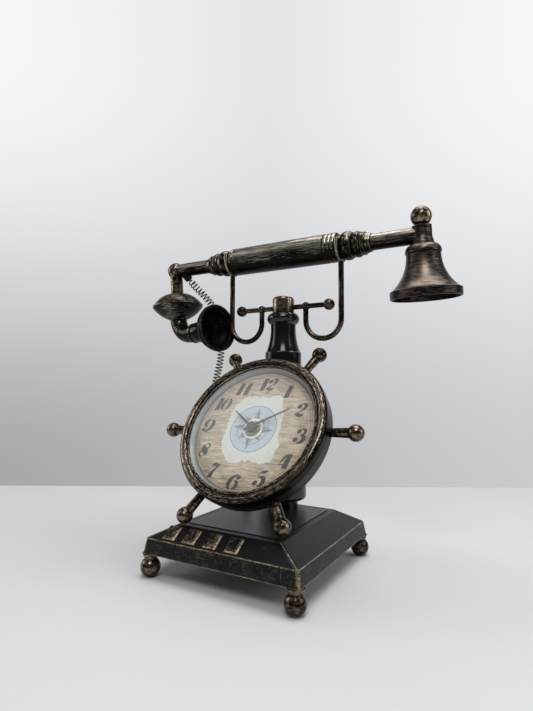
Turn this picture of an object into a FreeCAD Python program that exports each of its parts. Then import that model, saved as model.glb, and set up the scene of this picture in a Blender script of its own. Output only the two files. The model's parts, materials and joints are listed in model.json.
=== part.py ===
import FreeCAD, Part

import math
import os
from types import SimpleNamespace

import Sketcher
from FreeCAD import Placement, Rotation, Vector

# A table clock in the shape of an old pedestal telephone. A hipped iron base on ball feet
# carries a column, the column carries a tilted clock drum with six spokes, and a crossbar
# with two wire hooks holds a handset that lifts off on a coiled cord.
# +X points to the ear bell, +Y to the back, +Z up. The floor is z = 0 under the base's centre.

os.makedirs("parts", exist_ok=True)
doc = FreeCAD.newDocument("telephone_clock")

# Driving dimensions in millimetres, angles in degrees
SIZES = {
    # Base: a pressed hip-roofed shell, a closing plate and a thin deck plate
    "base_width": 120.0, "base_depth": 120.0, "base_lift": 15.8, "base_corner": 2.5,
    "base_sheet": 1.0, "band_height": 10.0, "band_taper": 1.65,
    "hip_inset_x": 19.6, "hip_inset_y": 14.5, "hip_rise": 8.9,
    "deck_thickness": 0.5, "deck_margin": 5.0, "deck_corner": 1.2,
    # Ball feet with their studs and nuts
    "foot_radius": 6.84, "foot_inset_x": 4.6, "foot_inset_y": 3.9, "foot_flat": 2.0,
    "foot_neck": 4.2, "foot_flange": 5.8, "stud_radius": 1.0, "nut_width": 4.0, "nut_height": 1.6,
    "thread_end": 0.5,
    # Key tablets on the front slope
    "key_width": 10.4, "key_length": 11.6, "key_rise": 1.5, "key_bevel": 1.6, "key_pitch": 16.8,
    "key_row_centre": -14.9, "key_row_height": 7.7, "key_corner": 0.4, "key_count": 4,
    # Pedestal, column, cap and the tie rod that clamps them
    "column_setback": 26.5, "tie_radius": 3.0, "tie_nut_width": 10.0, "tie_nut_height": 5.0,
    "pedestal_foot": 12.0, "pedestal_foot_height": 6.3, "pedestal_radius": 18.4,
    "pedestal_round": 2.6, "pedestal_height": 15.0, "pedestal_ogee": 9.0, "pedestal_bulge": 1.2,
    "column_radius": 14.65, "shaft_length": 92.3, "shoulder_step": 0.8, "vase_length": 22.2,
    "vase_neck": 10.3, "vase_hollow": 1.3, "ring_radius": 13.1, "ring_height": 8.9, "ring_bulge": 0.65,
    "ring_inset": 2.4, "cap_radius": 8.9, "cap_height": 13.8, "cap_round": 2.6, "rod_gap": 0.2,
    # Crossbar with ball ends
    "bar_radius": 2.0, "bar_half": 40.0, "bar_ball": 4.5, "bar_rise": 4.8,
    # Wire hooks and the forks that cradle the handset
    "hook_wire": 2.15, "hook_inner": 20.2, "hook_drop": 11.4, "hook_eye": 3.4,
    "fork_x": 50.0, "fork_wire": 1.25, "fork_arm": 5.0, "fork_play": 0.4,
    # Clock drum
    "drum_reach": 43.03, "drum_height": 97.5, "drum_tilt": 32.35, "drum_radius": 57.0,
    "drum_back": 8.5, "drum_front": 5.5, "drum_sheet": 1.2, "drum_round": 4.0,
    "dial_back": 2.2, "dial_thickness": 1.3, "dial_play": 0.2, "seat_width": 3.2,
    "chapter_inset": 10.1, "chapter_spread": 3.3, "chapter_sheet": 1.0, "chapter_depth": 4.3,
    "glass_inset": 3.2, "glass_thickness": 1.5, "glass_edge": 0.4,
    "lip_width": 1.9, "bezel_wall": 0.9, "bezel_skirt": 2.3, "bezel_crown": 1.35,
    "groove_inset": 5.6, "bezel_floor": 0.45, "bezel_bulge": 0.45, "lip_thickness": 0.9, "lip_edge": 0.3,
    "spoke_reach": 18.4, "spoke_ball": 5.7, "spoke_root": 3.0, "spoke_waist": 3.5,
    "spoke_pin": 2.0, "spoke_turn": 2.3, "spoke_count": 6,
    "drum_screw": 1.5, "drum_screw_length": 10.0, "drum_screw_head": 2.8,
    "drum_screw_head_height": 2.0, "drum_screw_x": 7.0, "drum_screw_inset": 11.0, "notch_play": 0.1,
    "bezel_play": 0.3,
    # Quartz movement
    "movement_side": 56.0, "movement_depth": 15.0, "movement_wall": 1.2, "movement_cover": 1.2,
    "movement_play": 0.4, "bush_radius": 4.0, "bush_length": 3.0, "dial_nut_width": 11.0,
    "dial_nut_height": 1.5, "battery_radius": 7.25, "battery_length": 50.5, "battery_play": 0.25,
    "contact_thickness": 0.4, "contact_width": 7.2, "board_length": 30.0, "board_width": 12.0,
    "board_thickness": 1.0, "board_margin": 1.2,
    "coil_radius": 3.4, "coil_length": 18.0, "coil_flange": 4.0, "coil_flange_width": 1.2,
    # Motion work between the hands
    "gear_module": 0.35, "cannon_teeth": 10, "motion_teeth": 30, "motion_pinion_teeth": 8,
    "gear_width": 1.2, "arbor_radius": 1.4, "pipe_radius": 2.4,
    "pivot_radius": 0.8, "pivot_depth": 0.6, "running_play": 0.06, "hour_wheel_drop": 1.0, "cannon_drop": 4.0,
    "knob_radius": 6.0, "knob_height": 3.0, "knob_gap": 0.4, "stem_radius": 1.4,
    # Hands
    "hand_thickness": 0.4, "hour_hand_rise": 1.0, "hand_step": 1.0, "hour_hand_length": 22.0,
    "minute_hand_length": 31.0, "hour_hand_width": 3.0, "minute_hand_width": 2.4, "hand_tip": 0.8,
    "hand_tail": 6.0, "hand_hub": 3.6, "hand_fit": 0.01, "hour_angle": 305.0, "minute_angle": 60.0,
    # Handset: tube, grip and collars
    "handset_rise": 43.7, "tube_radius": 6.1, "tube_bore": 4.9, "grip_radius": 11.5,
    "grip_half": 48.0, "band_bead": 3.2, "band_rise": 0.5, "band_count": 3,
    "groove_radius": 9.3, "groove_width": 4.0, "bead_width": 8.2, "bead_radius": 9.7,
    "bead_rise": 1.4, "bead_gap": 0.8, "small_bead_width": 5.8, "small_bead_radius": 8.7,
    "small_bead_rise": 1.25, "collar_ring": 8.7, "collar_ring_width": 2.2, "collar_end": 6.9,
    "collar_taper": 4.4,
    # Transmitter: elbow, saucer, lower elbow, collar and cup
    "mouth_x": 114.1, "transmitter_tilt": 5.0, "transmitter_turn": 11.5, "elbow_ball": 7.7,
    "post_radius": 5.7,
    "post_length": 22.4, "saucer_radius": 23.0, "saucer_top_height": 11.4, "saucer_top_bulge": 2.25,
    "saucer_bottom_height": 12.4, "saucer_bottom_bulge": 1.45, "saucer_crown": 6.8,
    "saucer_foot": 8.0, "saucer_sheet": 1.0, "saucer_edge": 0.8, "saucer_rim": 2.0,
    "bend_radius": 16.2, "bend_thickness": 7.6, "bend_run": 5.3,
    "mouth_collar": 8.2, "mouth_collar_length": 15.9, "mouth_collar_rise": 1.1,
    "mouth_ring": 9.0, "mouth_ring_width": 1.4,
    "cup_radius": 20.0, "cup_depth": 15.0, "cup_neck": 8.0, "cup_wall": 1.3, "cup_floor": 2.6,
    "cup_bulge": 2.0, "cup_lip": 1.2, "cup_lip_width": 2.6, "cup_lip_rise": 0.3, "cup_step": 1.4,
    # Receiver: ear bell and its finial
    "bell_x": 110.7, "bell_tilt": 1.5, "bell_lean": 4.5, "bell_crown": 6.4, "bell_neck": 6.8,
    "bell_neck_drop": 1.4, "bell_waist": 8.2, "bell_waist_drop": 6.9, "bell_shoulder": 12.5,
    "bell_shoulder_drop": 11.6,
    "bell_shoulder_bulge": 1.1, "bell_bead": 1.2, "bell_groove": 0.6, "bell_body_drop": 15.0,
    "bell_flare": 23.0, "bell_flare_drop": 38.4, "bell_flare_hollow": 2.65, "bell_lip": 24.7,
    "bell_lip_slope": 0.95, "bell_mouth_drop": 45.0, "bell_edge": 0.7, "bell_wall": 1.4,
    "finial_radius": 7.36, "finial_neck": 3.6, "finial_gap": 0.3,
    # Coiled cord and its sockets
    "cord_radius": 2.95, "cord_wire": 1.1, "cord_turns": 72, "socket_radius": 3.6,
    "socket_reach": 10.0, "socket_inset": 8.1, "socket_drop": 1.0, "base_socket_radius": 4.6,
    "base_socket_height": 5.8, "base_socket_x": -31.0, "base_socket_y": 30.0,
    "cord_lead": 3.3, "cord_stub": 9.5,
    # Clearance round a piece fixed in its hole
    "fixed_play": 0.05,
}

sheet = doc.addObject("Spreadsheet::Sheet", "Sizes")
for row, (alias, number) in enumerate(SIZES.items(), start=1):
    sheet.set(f"A{row}", alias)
    sheet.set(f"B{row}", str(number))
    sheet.setAlias(f"B{row}", alias)
doc.recompute()


class Size:
    """A dimension: its number now, and the sheet expression that it comes from."""

    def __init__(self, number, text):
        self.number = float(number)
        self.text = text

    def __add__(self, other):
        other = as_size(other)
        return Size(self.number + other.number, f"({self.text} + {other.text})")

    def __sub__(self, other):
        other = as_size(other)
        return Size(self.number - other.number, f"({self.text} - {other.text})")

    def __mul__(self, other):
        other = as_size(other)
        return Size(self.number * other.number, f"({self.text} * {other.text})")

    def __truediv__(self, other):
        other = as_size(other)
        return Size(self.number / other.number, f"({self.text} / {other.text})")

    def __neg__(self):
        return Size(-self.number, f"(0 - {self.text})")

    def __float__(self):
        return self.number

    __radd__ = __add__
    __rmul__ = __mul__

    def __rsub__(self, other):
        return as_size(other) - self


def as_size(value):
    return value if isinstance(value, Size) else Size(value, repr(float(value)))


class Bulge(Size):
    """An arc given by its height over the chord, instead of by its radius."""

    def __init__(self, height):
        super().__init__(height.number, height.text)

    def radius(self, start, end):
        across, up = end[0] - start[0], end[1] - start[1]
        chord_squared = across * across + up * up
        return (chord_squared / 4 + self * self) / (2 * self)


def leg(hypotenuse, other):
    """The third side of a right triangle."""
    number = math.sqrt(hypotenuse.number ** 2 - other.number ** 2)
    return Size(number, f"sqrt({hypotenuse.text} ^ 2 - {other.text} ^ 2)")


size = SimpleNamespace(**{alias: Size(sheet.get(alias), f"Sizes.{alias}") for alias in SIZES})
pieces = []


def bind(feature, **properties):
    """Set each property of a feature to a size and keep it bound to the sheet."""
    for name, value in properties.items():
        value = as_size(value)
        setattr(feature, name, value.number)
        feature.setExpression(name, value.text)
    return feature


def at(x=0.0, y=0.0, z=0.0, axis=Vector(0, 0, 1), angle=0.0):
    return Placement(Vector(float(x), float(y), float(z)), Rotation(axis, float(angle)))


ABOUT_X = Vector(1, 0, 0)
ABOUT_Y = Vector(0, 1, 0)
ALONG_X = at(axis=ABOUT_Y, angle=90)


def piece(feature, place=None):
    """Count a feature among the finished pieces, in its place."""
    if place is not None:
        feature.Placement = place
    pieces.append(feature)
    return feature


def new_sketch(body, name, plane):
    sketch = body.newObject("Sketcher::SketchObject", name)
    support = next(face for face in body.Origin.OriginFeatures if face.Role == plane)
    sketch.AttachmentSupport = [(support, "")]
    sketch.MapMode = "FlatFace"
    return sketch


def arc_between(start, end, bend):
    """An arc from start to end, turning left for a positive bend radius and right for a negative."""
    chord = end - start
    reach = math.sqrt(max(bend * bend - chord.Length ** 2 / 4, 0.0))
    left = Vector(-chord.y, chord.x, 0).normalize()
    centre = (start + end) / 2 + left * math.copysign(reach, bend)
    first, last = (start, end) if bend > 0 else (end, start)
    angles = [math.atan2(p.y - centre.y, p.x - centre.x) for p in (first, last)]
    if angles[1] < angles[0]:
        angles[1] += 2 * math.pi
    return Part.ArcOfCircle(Part.Circle(centre, Vector(0, 0, 1), abs(bend)), *angles)


def draw(body, name, plane, outline, closed=True):
    """Sketch lines and arcs through corners bound to the sheet.

    A corner is (across, up), or (across, up, bend) where an arc of that radius or bulge leads
    to it, turning left where the bend is positive.
    """
    sketch = new_sketch(body, name, plane)
    corners = [tuple(as_size(value) for value in corner) for corner in outline]
    points = [Vector(corner[0].number, corner[1].number, 0) for corner in corners]
    count = len(corners) if closed else len(corners) - 1
    rules, bound, ends = [], [], []
    for index in range(count):
        target = (index + 1) % len(corners)
        bend = corners[target][2] if len(corners[target]) == 3 else None
        if isinstance(bend, Bulge):
            bend = bend.radius(corners[index], corners[target])
        if bend is None:
            sketch.addGeometry(Part.LineSegment(points[index], points[target]))
        else:
            sketch.addGeometry(arc_between(points[index], points[target], bend.number))
        turned_back = bend is not None and bend.number < 0
        ends.append((2, 1) if turned_back else (1, 2))
        if bend is not None:
            radius = -bend if turned_back else bend
            bound.append((Sketcher.Constraint("Radius", index, radius.number), radius))
    fixed = [(index, ends[index][0], corners[index]) for index in range(count)]
    if not closed:
        fixed.append((count - 1, ends[count - 1][1], corners[-1]))
    for index, end, corner in fixed:
        for kind, axis, value in (("DistanceX", -2, corner[0]), ("DistanceY", -1, corner[1])):
            if value.text == "0.0":
                rules.append(Sketcher.Constraint("PointOnObject", index, end, axis))
            else:
                bound.append((Sketcher.Constraint(kind, -1, 1, index, end, value.number), value))
    for index in range(count if closed else count - 1):
        target = (index + 1) % count
        rules.append(Sketcher.Constraint("Coincident", index, ends[index][1], target, ends[target][0]))
    sketch.addConstraint(rules + [rule for rule, _ in bound])
    for index, (_, value) in enumerate(bound, start=len(rules)):
        sketch.setExpression(f"Constraints[{index}]", value.text)
    return sketch


def turned(label, outline, place=None, finished=True):
    """A piece turned on a lathe: an outline of (radius, height) revolved about Z."""
    body = doc.addObject("PartDesign::Body", label)
    sketch = draw(body, label + "_outline", "XZ_Plane", outline)
    lathe = body.newObject("PartDesign::Revolution", label + "_lathe")
    lathe.Profile = sketch
    lathe.ReferenceAxis = (sketch, ["V_Axis"])
    lathe.Angle = 360
    body.Placement = place or Placement()
    return piece(body) if finished else body


def bent(label, plane, route, radius, place=None, finished=True):
    """A round bar or wire bent along a route that leaves the origin along Z."""
    body = doc.addObject("PartDesign::Body", label)
    spine = draw(body, label + "_route", plane, route, closed=False)
    section = new_sketch(body, label + "_section", "XY_Plane")
    section.addGeometry(Part.Circle(Vector(), Vector(0, 0, 1), radius.number))
    section.addConstraint(Sketcher.Constraint("Coincident", 0, 3, -1, 1))
    rule = section.addConstraint(Sketcher.Constraint("Radius", 0, radius.number))
    section.setExpression(f"Constraints[{rule}]", radius.text)
    sweep = body.newObject("PartDesign::AdditivePipe", label + "_sweep")
    sweep.Profile = section
    sweep.Spine = (spine, [f"Edge{index}" for index in range(1, len(route))])
    body.Placement = place or Placement()
    return piece(body) if finished else body


def rounded_rectangle(body, name, width, depth, corner, height):
    """A sketch of a rectangle with round corners, lying at a height above the body's origin."""
    x, y, r = width / 2, depth / 2, as_size(corner)
    outline = [(x, r - y), (x, y - r), (x - r, y, r), (r - x, y), (-x, y - r, r), (-x, r - y),
               (r - x, -y, r), (x - r, -y)]
    outline[0] = outline[0] + (r,)
    sketch = draw(body, name, "XY_Plane", outline)
    height = as_size(height)
    sketch.AttachmentOffset = at(z=height)
    sketch.setExpression("AttachmentOffset.Base.z", height.text)
    return sketch


def lofted(body, name, sections, kind="PartDesign::AdditiveLoft"):
    """A ruled loft through rounded rectangles of (width, depth, corner, height)."""
    sketches = [rounded_rectangle(body, f"{name}_section_{index}", *section)
                for index, section in enumerate(sections)]
    loft = body.newObject(kind, name)
    loft.Profile = sketches[0]
    loft.Sections = sketches[1:]
    loft.Ruled = True
    return loft


def cylinder(name, radius, height, place=None):
    rod = bind(doc.addObject("Part::Cylinder", name), Radius=radius, Height=height)
    rod.Placement = place or Placement()
    return rod


def drill(name, radius, reach, place):
    """A drill that reaches equally far both ways from its place, along Z."""
    return cylinder(name, radius, reach * 2, place.multiply(at(z=-reach)))


def box(name, low, high, place=None):
    """A block between two corners, given as sizes in the frame of its place."""
    low = [as_size(value) for value in low]
    spans = [as_size(top) - bottom for bottom, top in zip(low, high)]
    block = bind(doc.addObject("Part::Box", name), Length=spans[0], Width=spans[1], Height=spans[2])
    block.Placement = (place or Placement()).multiply(at(*low))
    return block


def joined(label, *shapes):
    union = doc.addObject("Part::MultiFuse", label)
    union.Shapes = list(shapes)
    return union


def cut(label, base, *tools):
    """A piece with holes: the base less its tools."""
    hole = doc.addObject("Part::Cut", label)
    hole.Base = base
    hole.Tool = tools[0] if len(tools) == 1 else joined(label + "_tools", *tools)
    return hole


def solid(label, shape, place=None):
    """A piece whose shape is worked out point by point from the sheet's numbers."""
    feature = doc.addObject("Part::Feature", label)
    feature.Shape = shape
    feature.Placement = place or Placement()
    return feature


def copies(label, source, places):
    """Identical separate solids in one piece."""
    doc.recompute()
    shapes = []
    for place in places:
        shape = source.Shape.copy()
        shape.Placement = place.multiply(source.Placement)
        shapes.append(shape)
    return piece(solid(label, Part.makeCompound(shapes)))


def hex_nut(name, width, height, hole):
    prism = doc.addObject("Part::Prism", name + "_prism")
    prism.Polygon = 6
    bind(prism, Circumradius=width / math.sqrt(3), Height=height)
    return cut(name, prism, cylinder(name + "_hole", hole, height))


def ball_outline(radius, centre, neck, below):
    """Corners from a neck on a ball's underside, round its equator, to its top."""
    return [(neck, below), (neck, centre - leg(radius, neck)), (radius, centre, radius),
            (0, centre + radius, radius)]


# Heights that several pieces share
band_top = size.base_lift + size.band_height
shell_top = band_top + size.hip_rise
deck_top = shell_top + size.deck_thickness
pedestal_top = deck_top + size.pedestal_foot_height + size.pedestal_height + size.pedestal_ogee
shoulder = pedestal_top + size.shaft_length
ring_bottom = shoulder + size.vase_length
column_top = ring_bottom + size.ring_height
bar_height = column_top + size.bar_rise
handset_height = bar_height + size.handset_rise
column_y = size.base_depth / 2 - size.column_setback
tie_hole = size.tie_radius + size.fixed_play


def on_column(z=0.0):
    return at(0, column_y, z)


# Base shell: sheet pressed to a low band with a hipped top, hollow underneath
def base_sections(inset, lower):
    """The shell's three levels, moved in from the outside and down from the top."""
    corner = size.base_corner - inset
    taper = size.band_taper + inset
    return [
        (size.base_width - 2 * inset, size.base_depth - 2 * inset, corner, size.base_lift),
        (size.base_width - 2 * taper, size.base_depth - 2 * taper, corner, band_top - lower / 2),
        (size.base_width - 2 * size.hip_inset_x, size.base_depth - 2 * size.hip_inset_y, corner,
         shell_top - lower),
    ]


shell = doc.addObject("PartDesign::Body", "base_shell_pressing")
lofted(shell, "base_shell_outside", base_sections(as_size(0), as_size(0)))
lofted(shell, "base_shell_inside", base_sections(size.base_sheet, size.base_sheet),
       "PartDesign::SubtractiveLoft")
piece(cut("base_shell", shell, drill("base_shell_tie_hole", tie_hole, deck_top, on_column())))

# Base plate: flat sheet set inside the band's lower edge, drilled for the feet
foot_x = size.base_width / 2 - size.foot_inset_x
foot_y = size.base_depth / 2 - size.foot_inset_y
FOOT_CORNERS = {"front_left": (-1, -1), "front_right": (1, -1), "back_left": (-1, 1), "back_right": (1, 1)}
plate = doc.addObject("PartDesign::Body", "base_plate_blank")
plate_taper = size.band_taper * size.base_sheet / size.band_height
plate_inset = 2 * (size.base_sheet + plate_taper + size.fixed_play)
plate_sketch = rounded_rectangle(plate, "base_plate_outline", size.base_width - plate_inset,
                                 size.base_depth - plate_inset, size.base_corner - size.base_sheet,
                                 size.base_lift)
plate_pad = plate.newObject("PartDesign::Pad", "base_plate_pad")
plate_pad.Profile = plate_sketch
bind(plate_pad, Length=size.base_sheet)
foot_holes = [
    drill(f"foot_hole_{name}", size.stud_radius + size.fixed_play, band_top, at(foot_x * sx, foot_y * sy))
    for name, (sx, sy) in FOOT_CORNERS.items()
]
piece(cut("base_plate", plate, *foot_holes))

# Deck plate: thin plate let in from the top's edges, under the column
deck = doc.addObject("PartDesign::Body", "deck_plate_blank")
deck_pad = deck.newObject("PartDesign::Pad", "deck_plate_pad")
deck_pad.Profile = rounded_rectangle(
    deck, "deck_plate_outline", size.base_width - 2 * (size.hip_inset_x + size.deck_margin),
    size.base_depth - 2 * (size.hip_inset_y + size.deck_margin), size.deck_corner, shell_top)
bind(deck_pad, Length=size.deck_thickness)
piece(cut("deck_plate", deck, drill("deck_plate_tie_hole", tie_hole, pedestal_top, on_column())))

# Ball feet: turned balls on flared necks, flat below, each with a stud up through the base plate
stud_top = size.base_lift + size.base_sheet + size.nut_height + size.thread_end
foot_centre = leg(size.foot_radius, size.foot_flat)
foot_outline = [
    (0, 0),
    (size.foot_flat, 0),
    (size.foot_radius, foot_centre, size.foot_radius),
    (size.foot_neck, foot_centre + leg(size.foot_radius, size.foot_neck), size.foot_radius),
    (size.foot_flange, size.base_lift),
    (size.stud_radius, size.base_lift),
    (size.stud_radius, stud_top),
    (0, stud_top),
]
for name, (sx, sy) in FOOT_CORNERS.items():
    turned(f"foot_{name}", foot_outline, at(foot_x * sx, foot_y * sy))
foot_nut = hex_nut("foot_nut_blank", size.nut_width, size.nut_height, size.stud_radius + size.fixed_play)
copies("foot_nuts", foot_nut, [
    at(foot_x * sx, foot_y * sy, size.base_lift + size.base_sheet) for sx, sy in FOOT_CORNERS.values()])

# Key tablets: bevelled cast tablets in a row on the front slope
slope_run = size.hip_inset_y - size.band_taper
slope_angle = math.degrees(math.atan2(size.hip_rise.number, slope_run.number))
key = doc.addObject("PartDesign::Body", "key_tablet_blank")
lofted(key, "key_tablet_bevel", [
    (size.key_width, size.key_length, size.key_corner, 0),
    (size.key_width - size.key_bevel * 2, size.key_length - size.key_bevel * 2, size.key_corner,
     size.key_rise)])
front_slope = at(0, size.band_taper - size.base_depth / 2, band_top, ABOUT_X, slope_angle)
key_count = int(float(size.key_count))
copies("key_tablets", key, [
    front_slope.multiply(at(size.key_row_centre + size.key_pitch * (index - (key_count - 1) / 2),
                            size.key_row_height))
    for index in range(key_count)])

# Pedestal: a turned block under the column, waisted where it stands on the deck
pedestal_waist = deck_top + size.pedestal_foot_height
pedestal_side = pedestal_waist + size.pedestal_height
turned("pedestal", [
    (tie_hole, deck_top),
    (size.pedestal_foot, deck_top),
    (size.pedestal_foot, pedestal_waist),
    (size.pedestal_radius - size.pedestal_round, pedestal_waist),
    (size.pedestal_radius, pedestal_waist + size.pedestal_round, size.pedestal_round),
    (size.pedestal_radius, pedestal_side),
    (size.column_radius, pedestal_top, Bulge(size.pedestal_bulge)),
    (tie_hole, pedestal_top),
], on_column())

# Column: a turned shaft with a bottle neck and a ring, notched where the drum sits in it
column_blank = turned("column_blank", [
    (tie_hole, pedestal_top),
    (size.column_radius, pedestal_top),
    (size.column_radius, shoulder - size.shoulder_step),
    (size.column_radius - size.shoulder_step, shoulder),
    (size.vase_neck, ring_bottom, Bulge(-size.vase_hollow)),
    (size.ring_radius, ring_bottom + size.ring_height / 2, Bulge(size.ring_bulge)),
    (size.ring_radius - size.ring_inset, column_top, Bulge(size.ring_bulge)),
    (tie_hole, column_top),
], on_column(), finished=False)

# Column cap: a turned collar that closes the tie rod and carries the crossbar
cap_top = column_top + size.cap_height
bar_hole = size.bar_radius + size.fixed_play
rod_top = bar_height - bar_hole - size.rod_gap
cap_blank = turned("column_cap_blank", [
    (tie_hole, column_top),
    (size.cap_radius, column_top),
    (size.cap_radius, cap_top - size.cap_round),
    (size.cap_radius - size.cap_round, cap_top, size.cap_round),
    (0, cap_top),
    (0, rod_top),
    (tie_hole, rod_top),
], on_column(), finished=False)
along_bar = on_column(bar_height).multiply(ALONG_X)
piece(cut("column_cap", cap_blank, drill("column_cap_bar_hole", bar_hole, size.bar_half, along_bar)))

# Tie rod and nut: clamp deck, pedestal, column and cap together from inside the base
nut_top = shell_top - size.base_sheet
piece(cylinder("tie_rod", size.tie_radius, rod_top - nut_top + size.tie_nut_height + size.thread_end,
               on_column(nut_top - size.tie_nut_height - size.thread_end)))
tie_nut = hex_nut("tie_nut", size.tie_nut_width, size.tie_nut_height, tie_hole)
piece(tie_nut, on_column(nut_top - size.tie_nut_height))

# Crossbar: a round rod through the cap with a ball at each end
ball_start = size.bar_half - leg(size.bar_ball, size.bar_radius)
turned("crossbar", [
    (0, -size.bar_half - size.bar_ball),
    (size.bar_ball, -size.bar_half, size.bar_ball),
    (size.bar_radius, -ball_start, size.bar_ball),
    (size.bar_radius, ball_start),
    (size.bar_ball, size.bar_half, size.bar_ball),
    (0, size.bar_half + size.bar_ball, size.bar_ball),
], along_bar)

# Hooks: wire bent to a deep U that hangs from an eye on the crossbar
# Forks: a thinner wire cradle on each hook's top, under the handset's groove
fork_radius = size.groove_radius + size.fork_play + size.fork_wire
hook_top = size.handset_rise - fork_radius - size.fork_wire
hook_bend = (size.fork_x - size.hook_inner) / 2
for side, sign in (("left", -1), ("right", 1)):
    turn = hook_bend * sign
    wire = bent(f"hook_{side}_wire", "XZ_Plane", [
        (0, 0),
        (0, -size.hook_drop),
        (turn, -size.hook_drop - hook_bend, turn),
        (2 * turn, -size.hook_drop, turn),
        (2 * turn, hook_top),
    ], size.hook_wire, on_column(bar_height).multiply(at(size.hook_inner * sign)), finished=False)
    eye = bind(doc.addObject("Part::Sphere", f"hook_{side}_eye"), Radius=size.hook_eye)
    eye.Placement = wire.Placement
    eye_hole = drill(f"hook_{side}_bar_hole", bar_hole, size.bar_half, along_bar)
    piece(cut(f"hook_{side}", joined(f"hook_{side}_blank", wire, eye), eye_hole))
    bent(f"fork_{side}", "YZ_Plane", [
        (0, 0),
        (0, -size.fork_arm),
        (fork_radius, -size.fork_arm - fork_radius, fork_radius),
        (2 * fork_radius, -size.fork_arm, fork_radius),
        (2 * fork_radius, 0),
    ], size.fork_wire, at(size.fork_x * sign, column_y - fork_radius, handset_height + size.fork_arm))

# The drum's own frame: origin on its axis in the plane of the spokes, Z out of the dial, Y up it
DRUM = at(0, column_y - size.drum_reach, size.drum_height, ABOUT_X, 90 - size.drum_tilt)


def on_drum(x=0.0, y=0.0, z=0.0, turn=0.0):
    return DRUM.multiply(at(x, y, z, angle=turn))


back_inside = size.drum_sheet - size.drum_back
bore = size.drum_radius - size.drum_sheet
glass_radius = size.drum_radius - size.glass_inset
spoke_ring = size.drum_radius + size.spoke_reach
dial_front = size.dial_back + size.dial_thickness
glass_back = dial_front + size.chapter_depth
glass_front = glass_back + size.glass_thickness
movement_opening = size.movement_side / 2 + size.movement_play
spoke_count = int(float(size.spoke_count))
spoke_angles = [float(size.spoke_turn) + 360 / spoke_count * index for index in range(spoke_count)]
screw_up = size.drum_radius - size.drum_screw_inset
screw_spots = [(size.drum_screw_x * side, screw_up) for side in (-1, 1)]


def spoke_place(angle):
    """Along a spoke: Z points out from the drum's axis."""
    return on_drum(turn=angle).multiply(at(axis=ABOUT_Y, angle=90))


# Drum case: a shallow pressed can, open at the front, with a square opening for the movement
inner_round = size.drum_round - size.drum_sheet
drum_blank = turned("drum_case_pressing", [
    (0, -size.drum_back),
    (size.drum_radius - size.drum_round, -size.drum_back),
    (size.drum_radius, size.drum_round - size.drum_back, size.drum_round),
    (size.drum_radius, size.drum_front),
    (bore, size.drum_front),
    (bore, back_inside + inner_round),
    (bore - inner_round, back_inside, -inner_round),
    (0, back_inside),
], DRUM, finished=False)
case_holes = [box("drum_case_opening", (-movement_opening, -movement_opening, -2 * size.drum_back),
                  (movement_opening, movement_opening, size.drum_front), DRUM)]
for number, angle in enumerate(spoke_angles, start=1):
    case_holes.append(cylinder(f"spoke_hole_{number}", size.spoke_pin + size.fixed_play,
                               spoke_ring, spoke_place(angle)))
for number, spot in enumerate(screw_spots, start=1):
    case_holes.append(drill(f"drum_screw_hole_{number}", size.drum_screw + size.fixed_play,
                            size.drum_screw_length, on_drum(*spot, z=back_inside)))
piece(cut("drum_case", drum_blank, *case_holes))

# The column's notch follows the case and the bezel, and takes the drum's two screws
bezel_back = size.drum_front - size.bezel_skirt
notch = [
    cylinder("notch_case", size.drum_radius + size.notch_play, size.drum_radius,
             on_drum(z=-size.drum_back - size.notch_play)),
    cylinder("notch_bezel", size.drum_radius + size.bezel_wall + size.bezel_play, size.drum_radius,
             on_drum(z=bezel_back - size.bezel_play)),
]
for number, spot in enumerate(screw_spots, start=1):
    notch.append(cylinder(f"column_screw_hole_{number}", size.drum_screw + size.fixed_play,
                          size.drum_back + size.drum_screw_length,
                          on_drum(*spot, z=back_inside - size.drum_screw_length - size.thread_end)))
piece(cut("column", column_blank, *notch))

# Drum screws: two pan heads inside the case hold it in the column's notch
drum_screw = turned("drum_screw_blank", [
    (0, -size.drum_screw_length),
    (size.drum_screw, -size.drum_screw_length),
    (size.drum_screw, 0),
    (size.drum_screw_head, 0),
    (size.drum_screw_head, size.drum_screw_head_height / 2),
    (size.drum_screw_head - size.drum_screw_head_height / 2, size.drum_screw_head_height,
     size.drum_screw_head_height / 2),
    (0, size.drum_screw_head_height),
], finished=False)
copies("drum_screws", drum_screw, [on_drum(*spot, z=back_inside) for spot in screw_spots])

# Dial seat: a rolled strip inside the case that the dial rests on
seat_outside = bore - inner_round
turned("dial_seat_ring", [
    (seat_outside - size.seat_width, back_inside),
    (seat_outside, back_inside),
    (seat_outside, size.dial_back),
    (seat_outside - size.seat_width, size.dial_back),
], DRUM)

# Dial: a stiff disc with the printed face, bored for the movement's bush
dial_radius = bore - size.dial_play
bush_hole = size.bush_radius + size.fixed_play
turned("dial", [
    (bush_hole, size.dial_back),
    (dial_radius, size.dial_back),
    (dial_radius, dial_front),
    (bush_hole, dial_front),
], DRUM)

# Dial ring: a dark sloping strip between the dial and the glass
chapter_foot = size.drum_radius - size.chapter_inset
chapter_top = chapter_foot + size.chapter_spread
turned("dial_ring", [
    (chapter_foot, dial_front),
    (chapter_foot + size.chapter_sheet, dial_front),
    (chapter_top, glass_back - size.chapter_sheet),
    (glass_radius, glass_back - size.chapter_sheet),
    (glass_radius, glass_back),
    (chapter_top, glass_back),
], DRUM)

# Glass: a flat disc with a ground edge, held by the bezel's lip
turned("glass", [
    (0, glass_back),
    (glass_radius, glass_back),
    (glass_radius, glass_front - size.glass_edge),
    (glass_radius - size.glass_edge, glass_front),
    (0, glass_front),
], DRUM)

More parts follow.
